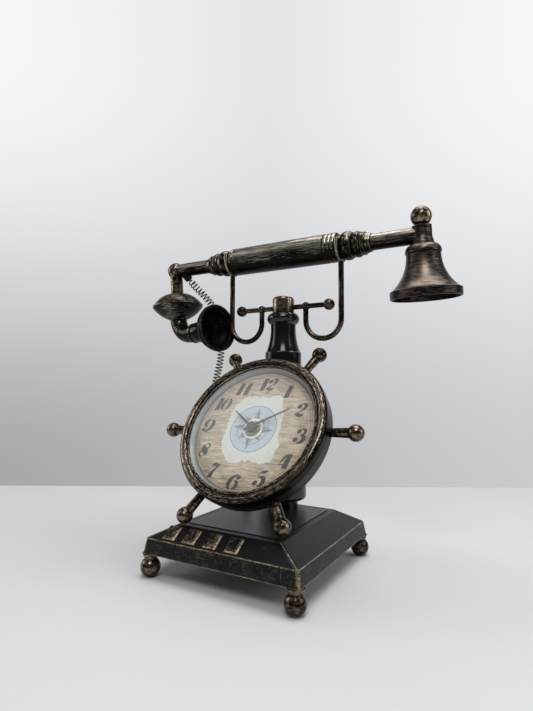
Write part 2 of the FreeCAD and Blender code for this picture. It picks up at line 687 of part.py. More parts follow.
# Bezel: a half-round ring pushed over the case, with a thin lip over the glass
bezel_radius = size.drum_radius + size.bezel_wall
bezel_groove = size.drum_radius - size.groove_inset
bezel_lip = bezel_groove - size.lip_width
bezel_mid = (bezel_radius + bezel_groove) / 2
bezel_bend = (bezel_radius - bezel_groove) / 2
bezel_seat = glass_front + size.fixed_play
bezel_rim = size.drum_front + size.fixed_play
lip_front = bezel_seat + size.lip_thickness
crown = lip_front + size.bezel_crown
turned("bezel", [
    (size.drum_radius + size.fixed_play, bezel_back),
    (bezel_radius, bezel_back),
    (bezel_radius, crown - bezel_bend),
    (bezel_mid, crown, bezel_bend),
    (bezel_groove, bezel_seat + size.bezel_floor, Bulge(size.bezel_bulge)),
    (bezel_groove - size.lip_edge, lip_front),
    (bezel_lip + size.lip_edge, lip_front),
    (bezel_lip, lip_front - size.lip_edge),
    (bezel_lip, bezel_seat),
    (glass_radius + size.bezel_play, bezel_seat),
    (glass_radius + size.bezel_play, bezel_rim),
    (size.drum_radius + size.fixed_play, bezel_rim),
], DRUM)

# Spokes: turned handles like a ship's wheel, each pinned through the case
ball_foot = spoke_ring - leg(size.spoke_ball, size.spoke_waist)
spoke_outline = [
    (0, bore),
    (size.spoke_pin, bore),
    (size.spoke_pin, size.drum_radius),
    (size.spoke_root, size.drum_radius),
    (size.spoke_waist, ball_foot),
    (size.spoke_ball, spoke_ring, size.spoke_ball),
    (0, spoke_ring + size.spoke_ball, size.spoke_ball),
]
for number, angle in enumerate(spoke_angles, start=1):
    turned(f"spoke_{number}", spoke_outline, spoke_place(angle))

# Movement case: a moulded tray with a gear well, a battery bay open at the back and a bush
# that passes through the dial
half_side = size.movement_side / 2
movement_back = size.dial_back - size.movement_depth
well_front = size.dial_back - size.movement_wall
cover_front = movement_back + size.movement_cover
bay_half = size.battery_length / 2 + size.battery_play + size.contact_thickness
bay_top = size.movement_wall + size.battery_radius * 2 + size.battery_play * 2 - half_side
battery_y = (size.movement_wall + bay_top - half_side) / 2
well_bottom = bay_top + size.movement_wall
well_half = half_side - size.movement_wall
pipe_hole = size.pipe_radius + size.running_play
pivot_hole = size.pivot_radius + size.running_play
gear_step = size.gear_module * (size.cannon_teeth + size.motion_teeth) / 2
motion_x = gear_step
knob_x = gear_step * 2
movement_body = joined(
    "movement_case_block",
    box("movement_case_tray", (-half_side, -half_side, movement_back),
        (half_side, half_side, size.dial_back), DRUM),
    cylinder("movement_case_bush", size.bush_radius, size.bush_length + size.movement_wall,
             on_drum(z=well_front)))
piece(cut(
    "movement_case", movement_body,
    box("movement_case_well", (-well_half, well_bottom, movement_back),
        (well_half, well_half, well_front), DRUM),
    box("movement_case_bay", (-bay_half, size.movement_wall - half_side, movement_back),
        (bay_half, bay_top, well_front), DRUM),
    drill("movement_case_bore", pipe_hole, size.movement_depth, on_drum(z=well_front)),
    drill("motion_pivot_hole", pivot_hole, size.pivot_depth, on_drum(motion_x, z=well_front)),
    drill("knob_pivot_hole", pivot_hole, size.pivot_depth, on_drum(knob_x, z=well_front)),
))

# Movement cover: closes the gear well and carries the back pivots
cover_half = well_half - size.fixed_play
piece(cut(
    "movement_cover",
    box("movement_cover_sheet", (-cover_half, well_bottom + size.fixed_play, movement_back),
        (cover_half, cover_half, cover_front), DRUM),
    drill("cover_arbor_hole", pivot_hole, size.movement_depth, on_drum(z=cover_front)),
    drill("cover_motion_hole", pivot_hole, size.movement_depth, on_drum(motion_x, z=cover_front)),
    drill("cover_stem_hole", size.stem_radius + size.running_play, size.movement_depth,
          on_drum(knob_x, z=cover_front)),
))

# Battery: one cell lying across the bay, with a spring plate at each end
battery_z = well_front - size.battery_radius - size.fixed_play
battery_place = on_drum(y=battery_y, z=battery_z).multiply(ALONG_X)
piece(drill("battery", size.battery_radius, size.battery_length / 2, battery_place))
contact_half = size.contact_width / 2
contact = box("battery_contact_blank", (0, -contact_half, -contact_half),
              (size.contact_thickness, contact_half, contact_half))
copies("battery_contacts", contact, [
    on_drum(-bay_half, battery_y, battery_z),
    on_drum(bay_half - size.contact_thickness, battery_y, battery_z)])

# Circuit board on the cover, and the motor's coil on the board
board_x = size.board_margin - well_half
board_y = well_half - size.board_margin - size.board_length
board_front = cover_front + size.board_thickness
piece(box("circuit_board", (board_x, board_y, cover_front),
          (board_x + size.board_width, board_y + size.board_length, board_front), DRUM))
coil_start = board_y + (size.board_length - size.coil_length) / 2
turned("motor_coil", [
    (0, 0),
    (size.coil_flange, 0),
    (size.coil_flange, size.coil_flange_width),
    (size.coil_radius, size.coil_flange_width),
    (size.coil_radius, size.coil_length - size.coil_flange_width),
    (size.coil_flange, size.coil_length - size.coil_flange_width),
    (size.coil_flange, size.coil_length),
    (0, size.coil_length),
], on_drum(board_x + size.board_width / 2, coil_start, board_front + size.coil_flange)
    .multiply(at(axis=ABOUT_X, angle=-90)))

# Dial nut: clamps the movement to the dial
piece(hex_nut("dial_nut", size.dial_nut_width, size.dial_nut_height, bush_hole), on_drum(z=dial_front))

# Motion work: involute gears with short teeth and open backlash
PRESSURE_ANGLE = math.radians(20)
TOOTH_SHARE = 0.40
WHEEL_TIP, PINION_TIP, TIP_ROOM = 0.5, 0.7, 0.25


def involute(angle):
    return math.tan(angle) - angle


def gear_face(teeth, tip_share, root_share, phase):
    """A gear's outline: involute flanks from root to tip, the first tooth centred on the phase."""
    module = float(size.gear_module)
    pitch_radius = module * teeth / 2
    base_radius = pitch_radius * math.cos(PRESSURE_ANGLE)
    root = pitch_radius - module * root_share
    tip = pitch_radius + module * tip_share
    half_tooth = 2 * math.pi / teeth * TOOTH_SHARE / 2
    flank = []
    for radius in (root, max(root, base_radius), (pitch_radius + tip) / 2, tip):
        slope = math.acos(min(base_radius / radius, 1.0))
        flank.append((radius, half_tooth + involute(PRESSURE_ANGLE) - involute(slope)))
    flank = sorted(set(flank))
    corners = []
    for tooth in range(teeth):
        middle = phase + 2 * math.pi * tooth / teeth
        side = [(radius, middle - angle) for radius, angle in flank]
        side += [(radius, middle + angle) for radius, angle in reversed(flank)]
        corners += [Vector(radius * math.cos(a), radius * math.sin(a), 0) for radius, a in side]
    return Part.Face(Part.makePolygon(corners + corners[:1]))


def gear(teeth, pinion, phase, low):
    """A gear of the common width whose lower face is at a height in the drum's frame."""
    tip, mate = (PINION_TIP, WHEEL_TIP) if pinion else (WHEEL_TIP, PINION_TIP)
    face = gear_face(int(float(teeth)), tip, mate + TIP_ROOM, phase)
    blank = face.extrude(Vector(0, 0, float(size.gear_width)))
    blank.translate(Vector(0, 0, float(low)))
    return blank


def rod(radius, low, high):
    return Part.makeCylinder(float(radius), float(high - low), Vector(0, 0, float(low)))


hour_wheel_low = well_front - size.hour_wheel_drop - size.gear_width
cannon_low = well_front - size.cannon_drop - size.gear_width
bush_front = size.dial_back + size.bush_length
hour_hand_low = bush_front + size.hour_hand_rise - size.hand_thickness
minute_hand_low = hour_hand_low + size.hand_step
pipe_front = hour_hand_low + size.hand_thickness
arbor_front = minute_hand_low + size.hand_thickness
hour_teeth = size.cannon_teeth + size.motion_teeth - size.motion_pinion_teeth
half_motion_tooth = math.pi / float(size.motion_teeth)
half_hour_tooth = math.pi / float(hour_teeth)

# Minute arbor: carries the cannon pinion and, in front of the dial, the minute hand
arbor = rod(size.arbor_radius, cannon_low, arbor_front)
arbor = arbor.fuse([gear(size.cannon_teeth, True, 0.0, cannon_low),
                    rod(size.pivot_radius, movement_back, cannon_low)])
piece(solid("minute_arbor", arbor, DRUM))

# Hour wheel: turns on the arbor, with a pipe through the bush to the hour hand
hour_wheel = gear(hour_teeth, False, half_hour_tooth, hour_wheel_low)
hour_wheel = hour_wheel.fuse(rod(size.pipe_radius, hour_wheel_low, pipe_front))
hour_wheel = hour_wheel.cut(rod(size.arbor_radius + size.running_play, hour_wheel_low, pipe_front))
piece(solid("hour_wheel", hour_wheel, DRUM))

# Motion wheel: steps the minute arbor down to the hour wheel
pivot_front = well_front + size.pivot_depth - size.fixed_play
motion = gear(size.motion_teeth, False, math.pi + half_motion_tooth, cannon_low)
motion = motion.fuse([gear(size.motion_pinion_teeth, True, math.pi, hour_wheel_low),
                      rod(size.pivot_radius, movement_back, pivot_front)])
piece(solid("motion_wheel", motion, on_drum(motion_x)))

# Setting knob: a knob behind the cover whose pinion turns the motion wheel
knob_low = movement_back - size.knob_gap - size.knob_height
knob = rod(size.knob_radius, knob_low, movement_back - size.knob_gap)
knob = knob.fuse([rod(size.stem_radius, movement_back - size.knob_gap, cannon_low),
                  gear(size.cannon_teeth, True, math.pi, cannon_low),
                  rod(size.pivot_radius, cannon_low, pivot_front)])
piece(solid("setting_knob", knob, on_drum(knob_x)))


# Hands: flat tapered strips on a round hub
def hand(length, width, hole):
    """A blade that tapers from its tail to its tip, bored at its hub."""
    tail, tip = float(size.hand_tail), float(size.hand_tip) / 2
    half = float(width) / 2
    blade = Part.Face(Part.makePolygon([
        Vector(-half, -tail, 0), Vector(half, -tail, 0), Vector(tip, float(length), 0),
        Vector(-tip, float(length), 0), Vector(-half, -tail, 0)]))
    blade = blade.extrude(Vector(0, 0, float(size.hand_thickness)))
    hub = Part.makeCylinder(float(size.hand_hub), float(size.hand_thickness))
    return blade.fuse(hub).cut(Part.makeCylinder(float(hole), float(size.hand_thickness)))


hour_blade = hand(size.hour_hand_length, size.hour_hand_width, size.pipe_radius + size.hand_fit)
piece(solid("hour_hand", hour_blade, on_drum(z=hour_hand_low, turn=-size.hour_angle)))
minute_blade = hand(size.minute_hand_length, size.minute_hand_width, size.arbor_radius + size.hand_fit)
piece(solid("minute_hand", minute_blade, on_drum(z=minute_hand_low, turn=-size.minute_angle)))

# Handset frame: X along the tube, origin over the column
HANDSET = on_column(handset_height)
ALONG_HANDSET = HANDSET.multiply(ALONG_X)
sleeve = size.tube_radius + size.fixed_play
mouth_place = HANDSET.multiply(at(-size.mouth_x, axis=ABOUT_Y, angle=-size.transmitter_tilt))
bell_lean = at(axis=ABOUT_X, angle=size.bell_lean)
bell_place = HANDSET.multiply(at(size.bell_x, axis=ABOUT_Y, angle=-size.bell_tilt)).multiply(bell_lean)

# Ear bell: a turned bell with a solid crown, open below
neck_low = -size.bell_waist_drop
shoulder_low = -size.bell_shoulder_drop
bead_low = shoulder_low - size.bell_bead
body_top = -size.bell_body_drop
flare_low = -size.bell_flare_drop
mouth_low = -size.bell_mouth_drop
bell_body = size.bell_shoulder - size.bell_groove
bell_outside = [
    (0, size.bell_crown),
    (size.bell_neck, size.bell_crown),
    (size.bell_neck, -size.bell_neck_drop),
    (size.bell_waist, neck_low),
    (size.bell_shoulder, shoulder_low, Bulge(-size.bell_shoulder_bulge)),
    (size.bell_shoulder, bead_low),
    (bell_body, bead_low - size.bell_groove),
    (bell_body, body_top),
    (size.bell_flare, flare_low, Bulge(size.bell_flare_hollow)),
    (size.bell_lip, flare_low - size.bell_lip_slope),
    (size.bell_lip, mouth_low + size.bell_edge),
    (size.bell_lip - size.bell_edge, mouth_low),
]
bell_inside = [
    (size.bell_lip - size.bell_wall, mouth_low),
    (size.bell_flare - size.bell_edge, flare_low - size.bell_wall),
    (bell_body - size.bell_wall, body_top - size.bell_edge, Bulge(-size.bell_flare_hollow)),
    (bell_body - size.bell_wall, shoulder_low),
    (0, shoulder_low + size.bell_wall),
]
turned("ear_bell", bell_outside + bell_inside, bell_place)
bell_envelope = turned("bell_envelope", bell_outside + [(0, mouth_low)], bell_place, finished=False)

# Bell finial: a ball on a short neck on the bell's crown
finial_centre = size.bell_crown + size.finial_gap + leg(size.finial_radius, size.finial_neck)
turned("bell_finial", [(0, size.bell_crown)] + ball_outline(
    size.finial_radius, finial_centre, size.finial_neck, size.bell_crown), bell_place)

# Handset tube: one tube from the elbow's ball to the bell's neck, coped round the neck
tube_start = leg(size.elbow_ball, size.tube_radius) - size.mouth_x
tube_place = ALONG_HANDSET.multiply(at(z=tube_start))
tube_length = size.bell_x - tube_start
tube_blank = cylinder("handset_tube_blank", size.tube_radius, tube_length, tube_place)
tube_inside = cylinder("handset_tube_inside", size.tube_bore, tube_length, tube_place)
piece(cut("handset_tube", tube_blank, tube_inside, bell_envelope))


# Grip and collars: turned sleeves on the tube, with beads between fine grooves
def bead(start, width, radius, rise):
    """A rounded ring of a sleeve: where it rises, and an arc over to where it falls."""
    return [(radius, start), (radius, start + width, Bulge(rise))]


grip_end = -size.grip_half
band_start = size.grip_half - size.band_bead * size.band_count
band_foot = size.grip_radius - size.band_rise
grip_outline = [(sleeve, grip_end)] + bead(grip_end, size.band_bead, band_foot, size.band_rise)
grip_outline += [
    (size.grip_radius, grip_end + size.band_bead + size.band_rise),
    (size.grip_radius, band_start - size.band_rise),
]
grip_outline += [(band_foot, band_start)]
for index in range(int(float(size.band_count))):
    grip_outline += bead(band_start + size.band_bead * index, size.band_bead, band_foot, size.band_rise)[1:]
grip_outline += [(sleeve, size.grip_half)]
turned("grip", grip_outline, ALONG_HANDSET)

groove_end = size.grip_half + size.groove_width
small_start = groove_end + size.bead_width + size.bead_gap
ring_start = small_start + size.small_bead_width + size.bead_gap
ring_end = ring_start + size.collar_ring_width
collar_far = ring_end + size.collar_taper
small_foot = size.small_bead_radius - size.bead_gap
collar_outline = [
    (sleeve, size.grip_half),
    (size.groove_radius, size.grip_half),
    (size.groove_radius, groove_end),
]
collar_outline += bead(groove_end, size.bead_width, size.bead_radius, size.bead_rise)
collar_outline += [
    (size.bead_radius - size.bead_gap, groove_end + size.bead_width),
    (small_foot, small_start),
]
collar_outline += bead(small_start, size.small_bead_width, size.small_bead_radius, size.small_bead_rise)
collar_outline += [
    (small_foot, small_start + size.small_bead_width),
    (small_foot, ring_start),
    (size.collar_ring, ring_start),
    (size.collar_ring, ring_end),
    (size.collar_ring - size.bead_gap, ring_end),
    (size.collar_end, collar_far),
    (sleeve, collar_far),
]
turned("collar_right", collar_outline, ALONG_HANDSET)
turned("collar_left", collar_outline, HANDSET.multiply(at(axis=ABOUT_Y, angle=-90)))

# Elbow: a ball with a post below it, faced flat for the tube
elbow_ball = bind(doc.addObject("Part::Sphere", "elbow_ball"), Radius=size.elbow_ball)
elbow_ball.Placement = mouth_place
elbow_post = cylinder("elbow_post", size.post_radius, size.post_length,
                      mouth_place.multiply(at(z=-size.post_length)))
elbow_face = cylinder("elbow_face", sleeve, size.mouth_x, tube_place)
piece(cut("elbow", joined("elbow_blank", elbow_ball, elbow_post), elbow_face))

# Saucer: two pressed dishes rim to rim, with the post on one and the lower elbow on the other
saucer_top = -size.post_length
saucer_rim = saucer_top - size.saucer_top_height
saucer_bottom = saucer_rim - size.saucer_bottom_height
turned("saucer_top", [
    (0, saucer_top),
    (0, saucer_top - size.saucer_sheet),
    (size.saucer_crown - size.saucer_sheet / 2, saucer_top - size.saucer_sheet),
    (size.saucer_radius - size.saucer_rim, saucer_rim, Bulge(-size.saucer_top_bulge)),
    (size.saucer_radius, saucer_rim),
    (size.saucer_radius, saucer_rim + size.saucer_edge),
    (size.saucer_radius - size.saucer_edge, saucer_rim + size.saucer_edge),
    (size.saucer_crown, saucer_top, Bulge(size.saucer_top_bulge)),
], mouth_place)
turned("saucer_bottom", [
    (0, saucer_bottom),
    (size.saucer_foot, saucer_bottom),
    (size.saucer_radius, saucer_rim - size.saucer_edge, Bulge(size.saucer_bottom_bulge)),
    (size.saucer_radius, saucer_rim),
    (size.saucer_radius - size.saucer_rim, saucer_rim),
    (size.saucer_foot - size.saucer_sheet / 2, saucer_bottom + size.saucer_sheet,
     Bulge(-size.saucer_bottom_bulge)),
    (0, saucer_bottom + size.saucer_sheet),
], mouth_place)

# Lower elbow: a cast bend from the saucer to the mouthpiece, screwed on a little towards the front
bend_place = mouth_place.multiply(at(z=saucer_bottom, angle=-size.transmitter_turn))
bend_end = size.bend_radius + size.bend_run
bent("lower_elbow", "XZ_Plane", [
    (0, 0),
    (size.bend_radius, -size.bend_radius, size.bend_radius),
    (bend_end, -size.bend_radius),
], size.bend_thickness, bend_place)
mouth_axis = bend_place.multiply(at(bend_end, z=-size.bend_radius)).multiply(ALONG_X)

# Mouthpiece collar: a turned ring and bead between the lower elbow and the cup
turned("mouthpiece_collar", [
    (0, 0),
    (size.mouth_ring, 0),
    (size.mouth_ring, size.mouth_ring_width),
    (size.mouth_collar, size.mouth_ring_width),
    (size.mouth_collar, size.mouth_collar_length, Bulge(size.mouth_collar_rise)),
    (0, size.mouth_collar_length),
], mouth_axis)

# Mouthpiece cup: a turned bowl with a stepped lip
cup_mouth = size.cup_depth - size.cup_lip_width
turned("mouthpiece_cup", [
    (0, 0),
    (size.cup_neck, 0),
    (size.cup_radius, cup_mouth, Bulge(size.cup_bulge)),
    (size.cup_radius + size.cup_lip_rise, cup_mouth + size.cup_lip_rise),
    (size.cup_radius + size.cup_lip_rise, size.cup_depth),
    (size.cup_radius - size.cup_lip, size.cup_depth),
    (size.cup_radius - size.cup_lip, cup_mouth + size.cup_lip_rise),
    (size.cup_radius - size.cup_lip - size.cup_step, cup_mouth),
    (size.cup_neck - size.cup_wall, size.cup_floor, Bulge(-size.cup_bulge)),
    (0, size.cup_floor),
], mouth_axis.multiply(at(z=size.mouth_collar_length)))

# Cord sockets: a slanted ferrule under the tube and an upright one on the deck
SOCKET_WAY = Vector(0.64, 0.10, -0.76).normalize()
socket_start = HANDSET.multVec(Vector(float(size.socket_inset - size.mouth_x), 0, -float(size.socket_drop)))
upper_place = Placement(socket_start, Rotation(Vector(0, 0, 1), SOCKET_WAY))
piece(cut("cord_socket_handset",
          cylinder("upper_socket_blank", size.socket_radius, size.socket_reach, upper_place),
          drill("upper_socket_saddle", sleeve, size.mouth_x, ALONG_HANDSET)))
lower_place = at(size.base_socket_x, size.base_socket_y, deck_top)
turned("cord_socket_base", [
    (0, 0),
    (size.base_socket_radius, 0),
    (size.socket_radius, size.base_socket_height),
    (0, size.base_socket_height),
], lower_place)

# Cord: a coil of steel wire along a slack route behind the mouthpiece and the drum
upper_end = socket_start + SOCKET_WAY * float(size.socket_reach)
lower_end = lower_place.multVec(Vector(0, 0, float(size.base_socket_height)))
CORD_ROUTE = [
    upper_end,
    upper_end + SOCKET_WAY * float(size.cord_stub),
    Vector(-86.4, 41.2, 213.0),
    Vector(-81.0, 50.0, 202.0),
    Vector(-80.0, 55.5, 188.0),
    Vector(-79.5, 59.0, 172.0),
    Vector(-80.5, 60.0, 155.0),
    Vector(-84.5, 59.0, 138.0),
    Vector(-86.5, 56.5, 120.0),
    Vector(-83.0, 53.0, 101.0),
    Vector(-74.0, 49.0, 82.0),
    Vector(-60.0, 43.0, 66.0),
    Vector(-45.0, 36.0, 58.5),
    Vector(-34.0, 31.0, 57.0),
    lower_end + Vector(0, 0, float(size.cord_stub)),
    lower_end,
]
STEPS_PER_TURN = 16
cord_turns = int(float(size.cord_turns))
coil_radius, wire_size, cord_lead = float(size.cord_radius), float(size.cord_wire), float(size.cord_lead)


def slack_line(route):
    """A smooth curve that is pulled towards each point of the route."""
    spans = len(route) - 2
    line = Part.BSplineCurve()
    line.buildFromPolesMultsKnots(route, [3] + [1] * (spans - 1) + [3], list(range(spans + 1)), False, 2)
    return line


def coil_nodes(line):
    """Points and directions at each half turn of a coil round the line, with its two ends.

    The coil keeps its radius while its angle grows steadily with length. At each end the wire
    leaves the coil and runs beside the line.
    """
    steps = cord_turns * STEPS_PER_TURN
    coiled = line.length() - 2 * cord_lead
    across = line.tangent(line.FirstParameter)[0].cross(ABOUT_Y).normalize()
    points, sides = [], []
    for step in range(-1, steps + 2):
        along = line.parameterAtDistance(cord_lead + coiled * step / steps, line.FirstParameter)
        ahead = line.tangent(along)[0]
        across = (across - ahead * across.dot(ahead)).normalize()
        angle = 2 * math.pi * step / STEPS_PER_TURN
        offset = across * math.cos(angle) + ahead.cross(across) * math.sin(angle)
        points.append(line.value(along) + offset * coil_radius)
        sides.append(across)
    nodes = [(points[step], (points[step + 1] - points[step - 1]).normalize())
             for step in range(1, steps + 2, STEPS_PER_TURN // 2)]
    ends = [(line.value(end) + side * coil_radius, line.tangent(end)[0])
            for end, side in ((line.FirstParameter, sides[1]), (line.LastParameter, sides[-2]))]
    return nodes, ends


def arc_edge(start, corner, end):
    """The arc that touches start-corner and corner-end, which are equally long."""
    weight = (end - start).Length / 2 / (corner - start).Length
    return Part.Arc(start, (start + end + corner * (2 * weight)) / (2 + 2 * weight), end).toShape()


def biarc(start, way_out, end, way_in):
    """Two arcs that leave start one way, meet smoothly and reach end the other way."""
    span = end - start
    both = way_out + way_in
    turn = 2 * (1 - way_out.dot(way_in))
    reach = (math.sqrt(span.dot(both) ** 2 + turn * span.dot(span)) - span.dot(both)) / turn
    first, second = start + way_out * reach, end - way_in * reach
    middle = (first + second) / 2
    return [arc_edge(start, first, middle), arc_edge(middle, second, end)]


def least_gap(wire):
    """The smallest clear space between neighbouring turns, measured on points along the wire."""
    points = wire.discretize(Number=cord_turns * STEPS_PER_TURN)
    nearest = min(points[i].distanceToPoint(points[j])
                  for i in range(len(points))
                  for j in range(i + STEPS_PER_TURN // 2, min(i + STEPS_PER_TURN * 3, len(points))))
    return nearest - wire_size


cord_line = slack_line(CORD_ROUTE)
coil, ((start_point, start_way), (end_point, end_way)) = coil_nodes(cord_line)
straight_in = start_point + start_way * wire_size
straight_out = end_point - end_way * wire_size
runs = [(straight_in, start_way)] + coil[1:-1] + [(straight_out, end_way)]
arcs = []
for (here, way_out), (there, way_in) in zip(runs, runs[1:]):
    arcs += biarc(here, way_out, there, way_in)
lead_in = Part.LineSegment(start_point, straight_in).toShape()
lead_out = Part.LineSegment(straight_out, end_point).toShape()
cord_path = Part.Wire([lead_in] + arcs + [lead_out])
section = Part.Wire([Part.Circle(start_point, start_way, wire_size / 2).toShape()])
cord_shape = cord_path.makePipeShell([section], True, False)
piece(solid("cord", cord_shape))
swept = math.pi * wire_size ** 2 / 4 * cord_path.Length
print(f"cord: route {cord_line.length():.1f} mm, wire {cord_path.Length:.0f} mm, "
      f"volume {cord_shape.Volume:.1f} of {swept:.1f} mm3, "
      f"least radius {min(arc.Curve.Radius for arc in arcs):.2f} mm, "
      f"least gap {least_gap(cord_path):.2f} mm")

# Check every feature before writing the pieces
doc.recompute()
failed = [feature.Label for feature in doc.Objects
          if any(state in ("Invalid", "Error") for state in feature.State)]
if failed:
    raise RuntimeError(f"features that failed: {failed}")
for feature in pieces:
    if feature.Shape.isNull() or not feature.Shape.isValid() or not feature.Shape.Solids:
        raise RuntimeError(f"{feature.Label} has no valid solid")
for feature in pieces:
    feature.Shape.exportStep(f"parts/{feature.Label}.step")
print(f"{len(pieces)} pieces, {sum(len(feature.Shape.Solids) for feature in pieces)} solids")
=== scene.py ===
import json
import math

import bpy
import numpy as np
from mathutils import Matrix, Vector


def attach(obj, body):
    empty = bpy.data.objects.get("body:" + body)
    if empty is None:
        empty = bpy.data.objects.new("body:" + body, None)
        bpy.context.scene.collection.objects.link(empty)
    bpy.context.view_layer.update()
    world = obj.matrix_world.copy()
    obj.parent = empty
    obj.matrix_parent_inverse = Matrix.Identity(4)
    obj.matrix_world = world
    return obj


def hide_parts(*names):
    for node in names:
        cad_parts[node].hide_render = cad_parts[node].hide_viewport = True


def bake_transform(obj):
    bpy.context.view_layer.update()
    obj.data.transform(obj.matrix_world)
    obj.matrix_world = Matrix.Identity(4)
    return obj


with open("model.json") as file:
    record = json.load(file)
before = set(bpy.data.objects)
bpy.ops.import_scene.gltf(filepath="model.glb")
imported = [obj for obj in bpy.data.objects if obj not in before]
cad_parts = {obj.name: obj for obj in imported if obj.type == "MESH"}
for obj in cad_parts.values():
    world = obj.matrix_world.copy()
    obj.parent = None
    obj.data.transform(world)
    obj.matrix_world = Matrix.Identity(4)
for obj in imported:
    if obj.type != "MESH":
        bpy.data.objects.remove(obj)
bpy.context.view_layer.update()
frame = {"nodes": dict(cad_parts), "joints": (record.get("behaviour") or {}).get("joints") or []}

scene = bpy.context.scene
scene.view_settings.view_transform = "Standard"
MM = 0.001

# The camera stands low in front, to the right of the clock, and looks a little upwards.
# The photograph's frame is upright, so the sensor's long side is its height.
CAMERA_PLACE = Vector((179.04, -306.24, 131.21)) * MM
CAMERA_AZIMUTH = math.radians(29.82)
CAMERA_TILT = math.radians(3.53)
CAMERA_ROLL = math.radians(0.24)
LENS = 23.977
SENSOR_HEIGHT = 36.0
NEAREST_SEEN = 10.0 * MM

camera = bpy.data.objects.new("camera", bpy.data.cameras.new("camera"))
camera.data.sensor_fit = "VERTICAL"
camera.data.sensor_height = SENSOR_HEIGHT
camera.data.lens = LENS
camera.data.clip_start = NEAREST_SEEN
camera.matrix_world = (Matrix.Translation(CAMERA_PLACE)
                       @ Matrix.Rotation(CAMERA_AZIMUTH, 4, "Z")
                       @ Matrix.Rotation(math.pi / 2 + CAMERA_TILT, 4, "X")
                       @ Matrix.Rotation(CAMERA_ROLL, 4, "Z"))
scene.collection.objects.link(camera)
scene.camera = camera


# The studio: a pale matt table top that ends behind the clock, against a pale wall that gets
# lighter towards the top. The wall is the world's own colour, so it never stands in front of a view.
FLOOR_BEHIND = 0.265
FLOOR_REACH = 1.6
FLOOR_PALE = "#e3e3e3"
FLOOR_GRAIN = 4.0 * MM
FLOOR_SHADE = 0.97
FLOOR_DULL = 0.6
WALL_LOW_LEFT, WALL_LOW_RIGHT = "#a8a8a7", "#c9cacc"
WALL_HIGH_MIDDLE, WALL_HIGH_SIDE = "#e4e5e7", "#f8f8fa"
# From and to are shares of the unit line of sight: upwards, backwards, or towards the window
WALL_FROM, WALL_TO = -0.20, 0.58
WALL_SIDE = 0.46
ROOM_DARK = 0.07
ROOM_FROM, ROOM_TO = 0.20, 0.92
CEILING_DARK = 0.10
CEILING_FROM, CEILING_TO = 0.46, 0.86
WINDOW = Vector((-0.536, -0.412, 0.7365))
WINDOW_FROM, WINDOW_TO = 0.985, 0.999
WINDOW_GLOW = 1.7
FILL = "#4c4d4f"


def linear(colour):
    """sRGB hex to linear RGBA: a straight line below 0.04045 and a 2.4 power above it."""
    channel = np.array([int(colour[i:i + 2], 16) for i in (1, 3, 5)]) / 255
    light = np.where(channel <= 0.04045, channel / 12.92, ((channel + 0.055) / 1.055) ** 2.4)
    return (*light.tolist(), 1.0)


def plug(node, sockets):
    """Fills a node's sockets, named or numbered: values are set, outputs linked.

    A node in an output's place gives the first of its outputs that is in use."""
    for key, value in sockets.items():
        if isinstance(key, str):
            socket = next(one for one in node.inputs if one.name == key and one.enabled)
        else:
            socket = node.inputs[key]
        if isinstance(value, bpy.types.Node):
            value = next(output for output in value.outputs if output.enabled)
        if isinstance(value, bpy.types.NodeSocket):
            node.id_data.links.new(value, socket)
        else:
            socket.default_value = value


def put(tree, kind, sockets=None, **settings):
    """Adds a node of that kind, with its settings, and fills its sockets."""
    node = tree.nodes.new(kind)
    for name, value in settings.items():
        setattr(node, name, value)
    plug(node, sockets or {})
    return node


def finish(name):
    """A new material: its node tree, emptied, and its principled shader wired to the output."""
    material = bpy.data.materials.new(name)
    material.use_nodes = True
    tree = material.node_tree
    tree.nodes.clear()
    shader = put(tree, "ShaderNodeBsdfPrincipled")
    put(tree, "ShaderNodeOutputMaterial", {"Surface": shader})
    return material, tree, shader


def surface(name, grids, material, closed=(False, False)):
    """Grids of points, each rows by columns by 3, as one mesh: a quad between each four neighbours.

    closed says whether the last row joins the first, and the last column the first."""
    points, quads, start = [], [], 0
    for grid in grids:
        rows, columns = grid.shape[:2]
        row = np.arange(rows if closed[0] else rows - 1)[:, None]
        column = np.arange(columns if closed[1] else columns - 1)[None, :]
        below, beside = (row + 1) % rows, (column + 1) % columns
        corners = [row * columns + column, row * columns + beside,
                   below * columns + beside, below * columns + column]
        quads.append(start + np.stack(corners, axis=-1).reshape(-1, 4))
        points.append(grid.reshape(-1, 3))
        start += rows * columns
    mesh = bpy.data.meshes.new(name)
    mesh.from_pydata(np.concatenate(points).tolist(), [], np.concatenate(quads).tolist())
    mesh.shade_smooth()
    mesh.materials.append(material)
    thing = bpy.data.objects.new(name, mesh)
    scene.collection.objects.link(thing)
    return thing


world = bpy.data.worlds.new("pale_studio")
scene.world = world
world.use_nodes = True
sky = world.node_tree
sky.nodes.clear()
across = Vector((math.cos(CAMERA_AZIMUTH), math.sin(CAMERA_AZIMUTH), 0.0))
away = Vector((-math.sin(CAMERA_AZIMUTH), math.cos(CAMERA_AZIMUTH), 0.0))
way = put(sky, "ShaderNodeTexCoord").outputs["Generated"]
climb = put(sky, "ShaderNodeSeparateXYZ", {0: way}).outputs["Z"]
beside = put(sky, "ShaderNodeVectorMath", {0: way, 1: across}, operation="DOT_PRODUCT")
depth = put(sky, "ShaderNodeVectorMath", {0: way, 1: away}, operation="DOT_PRODUCT")
near = put(sky, "ShaderNodeVectorMath", {0: way, 1: WINDOW}, operation="DOT_PRODUCT")
rise = put(sky, "ShaderNodeMapRange", {"Value": climb, "From Min": WALL_FROM, "From Max": WALL_TO},
           interpolation_type="SMOOTHSTEP")
rightness = put(sky, "ShaderNodeMapRange", {"Value": beside, "From Min": -WALL_SIDE, "From Max": WALL_SIDE})
outness = put(sky, "ShaderNodeMath", {0: beside}, operation="ABSOLUTE")
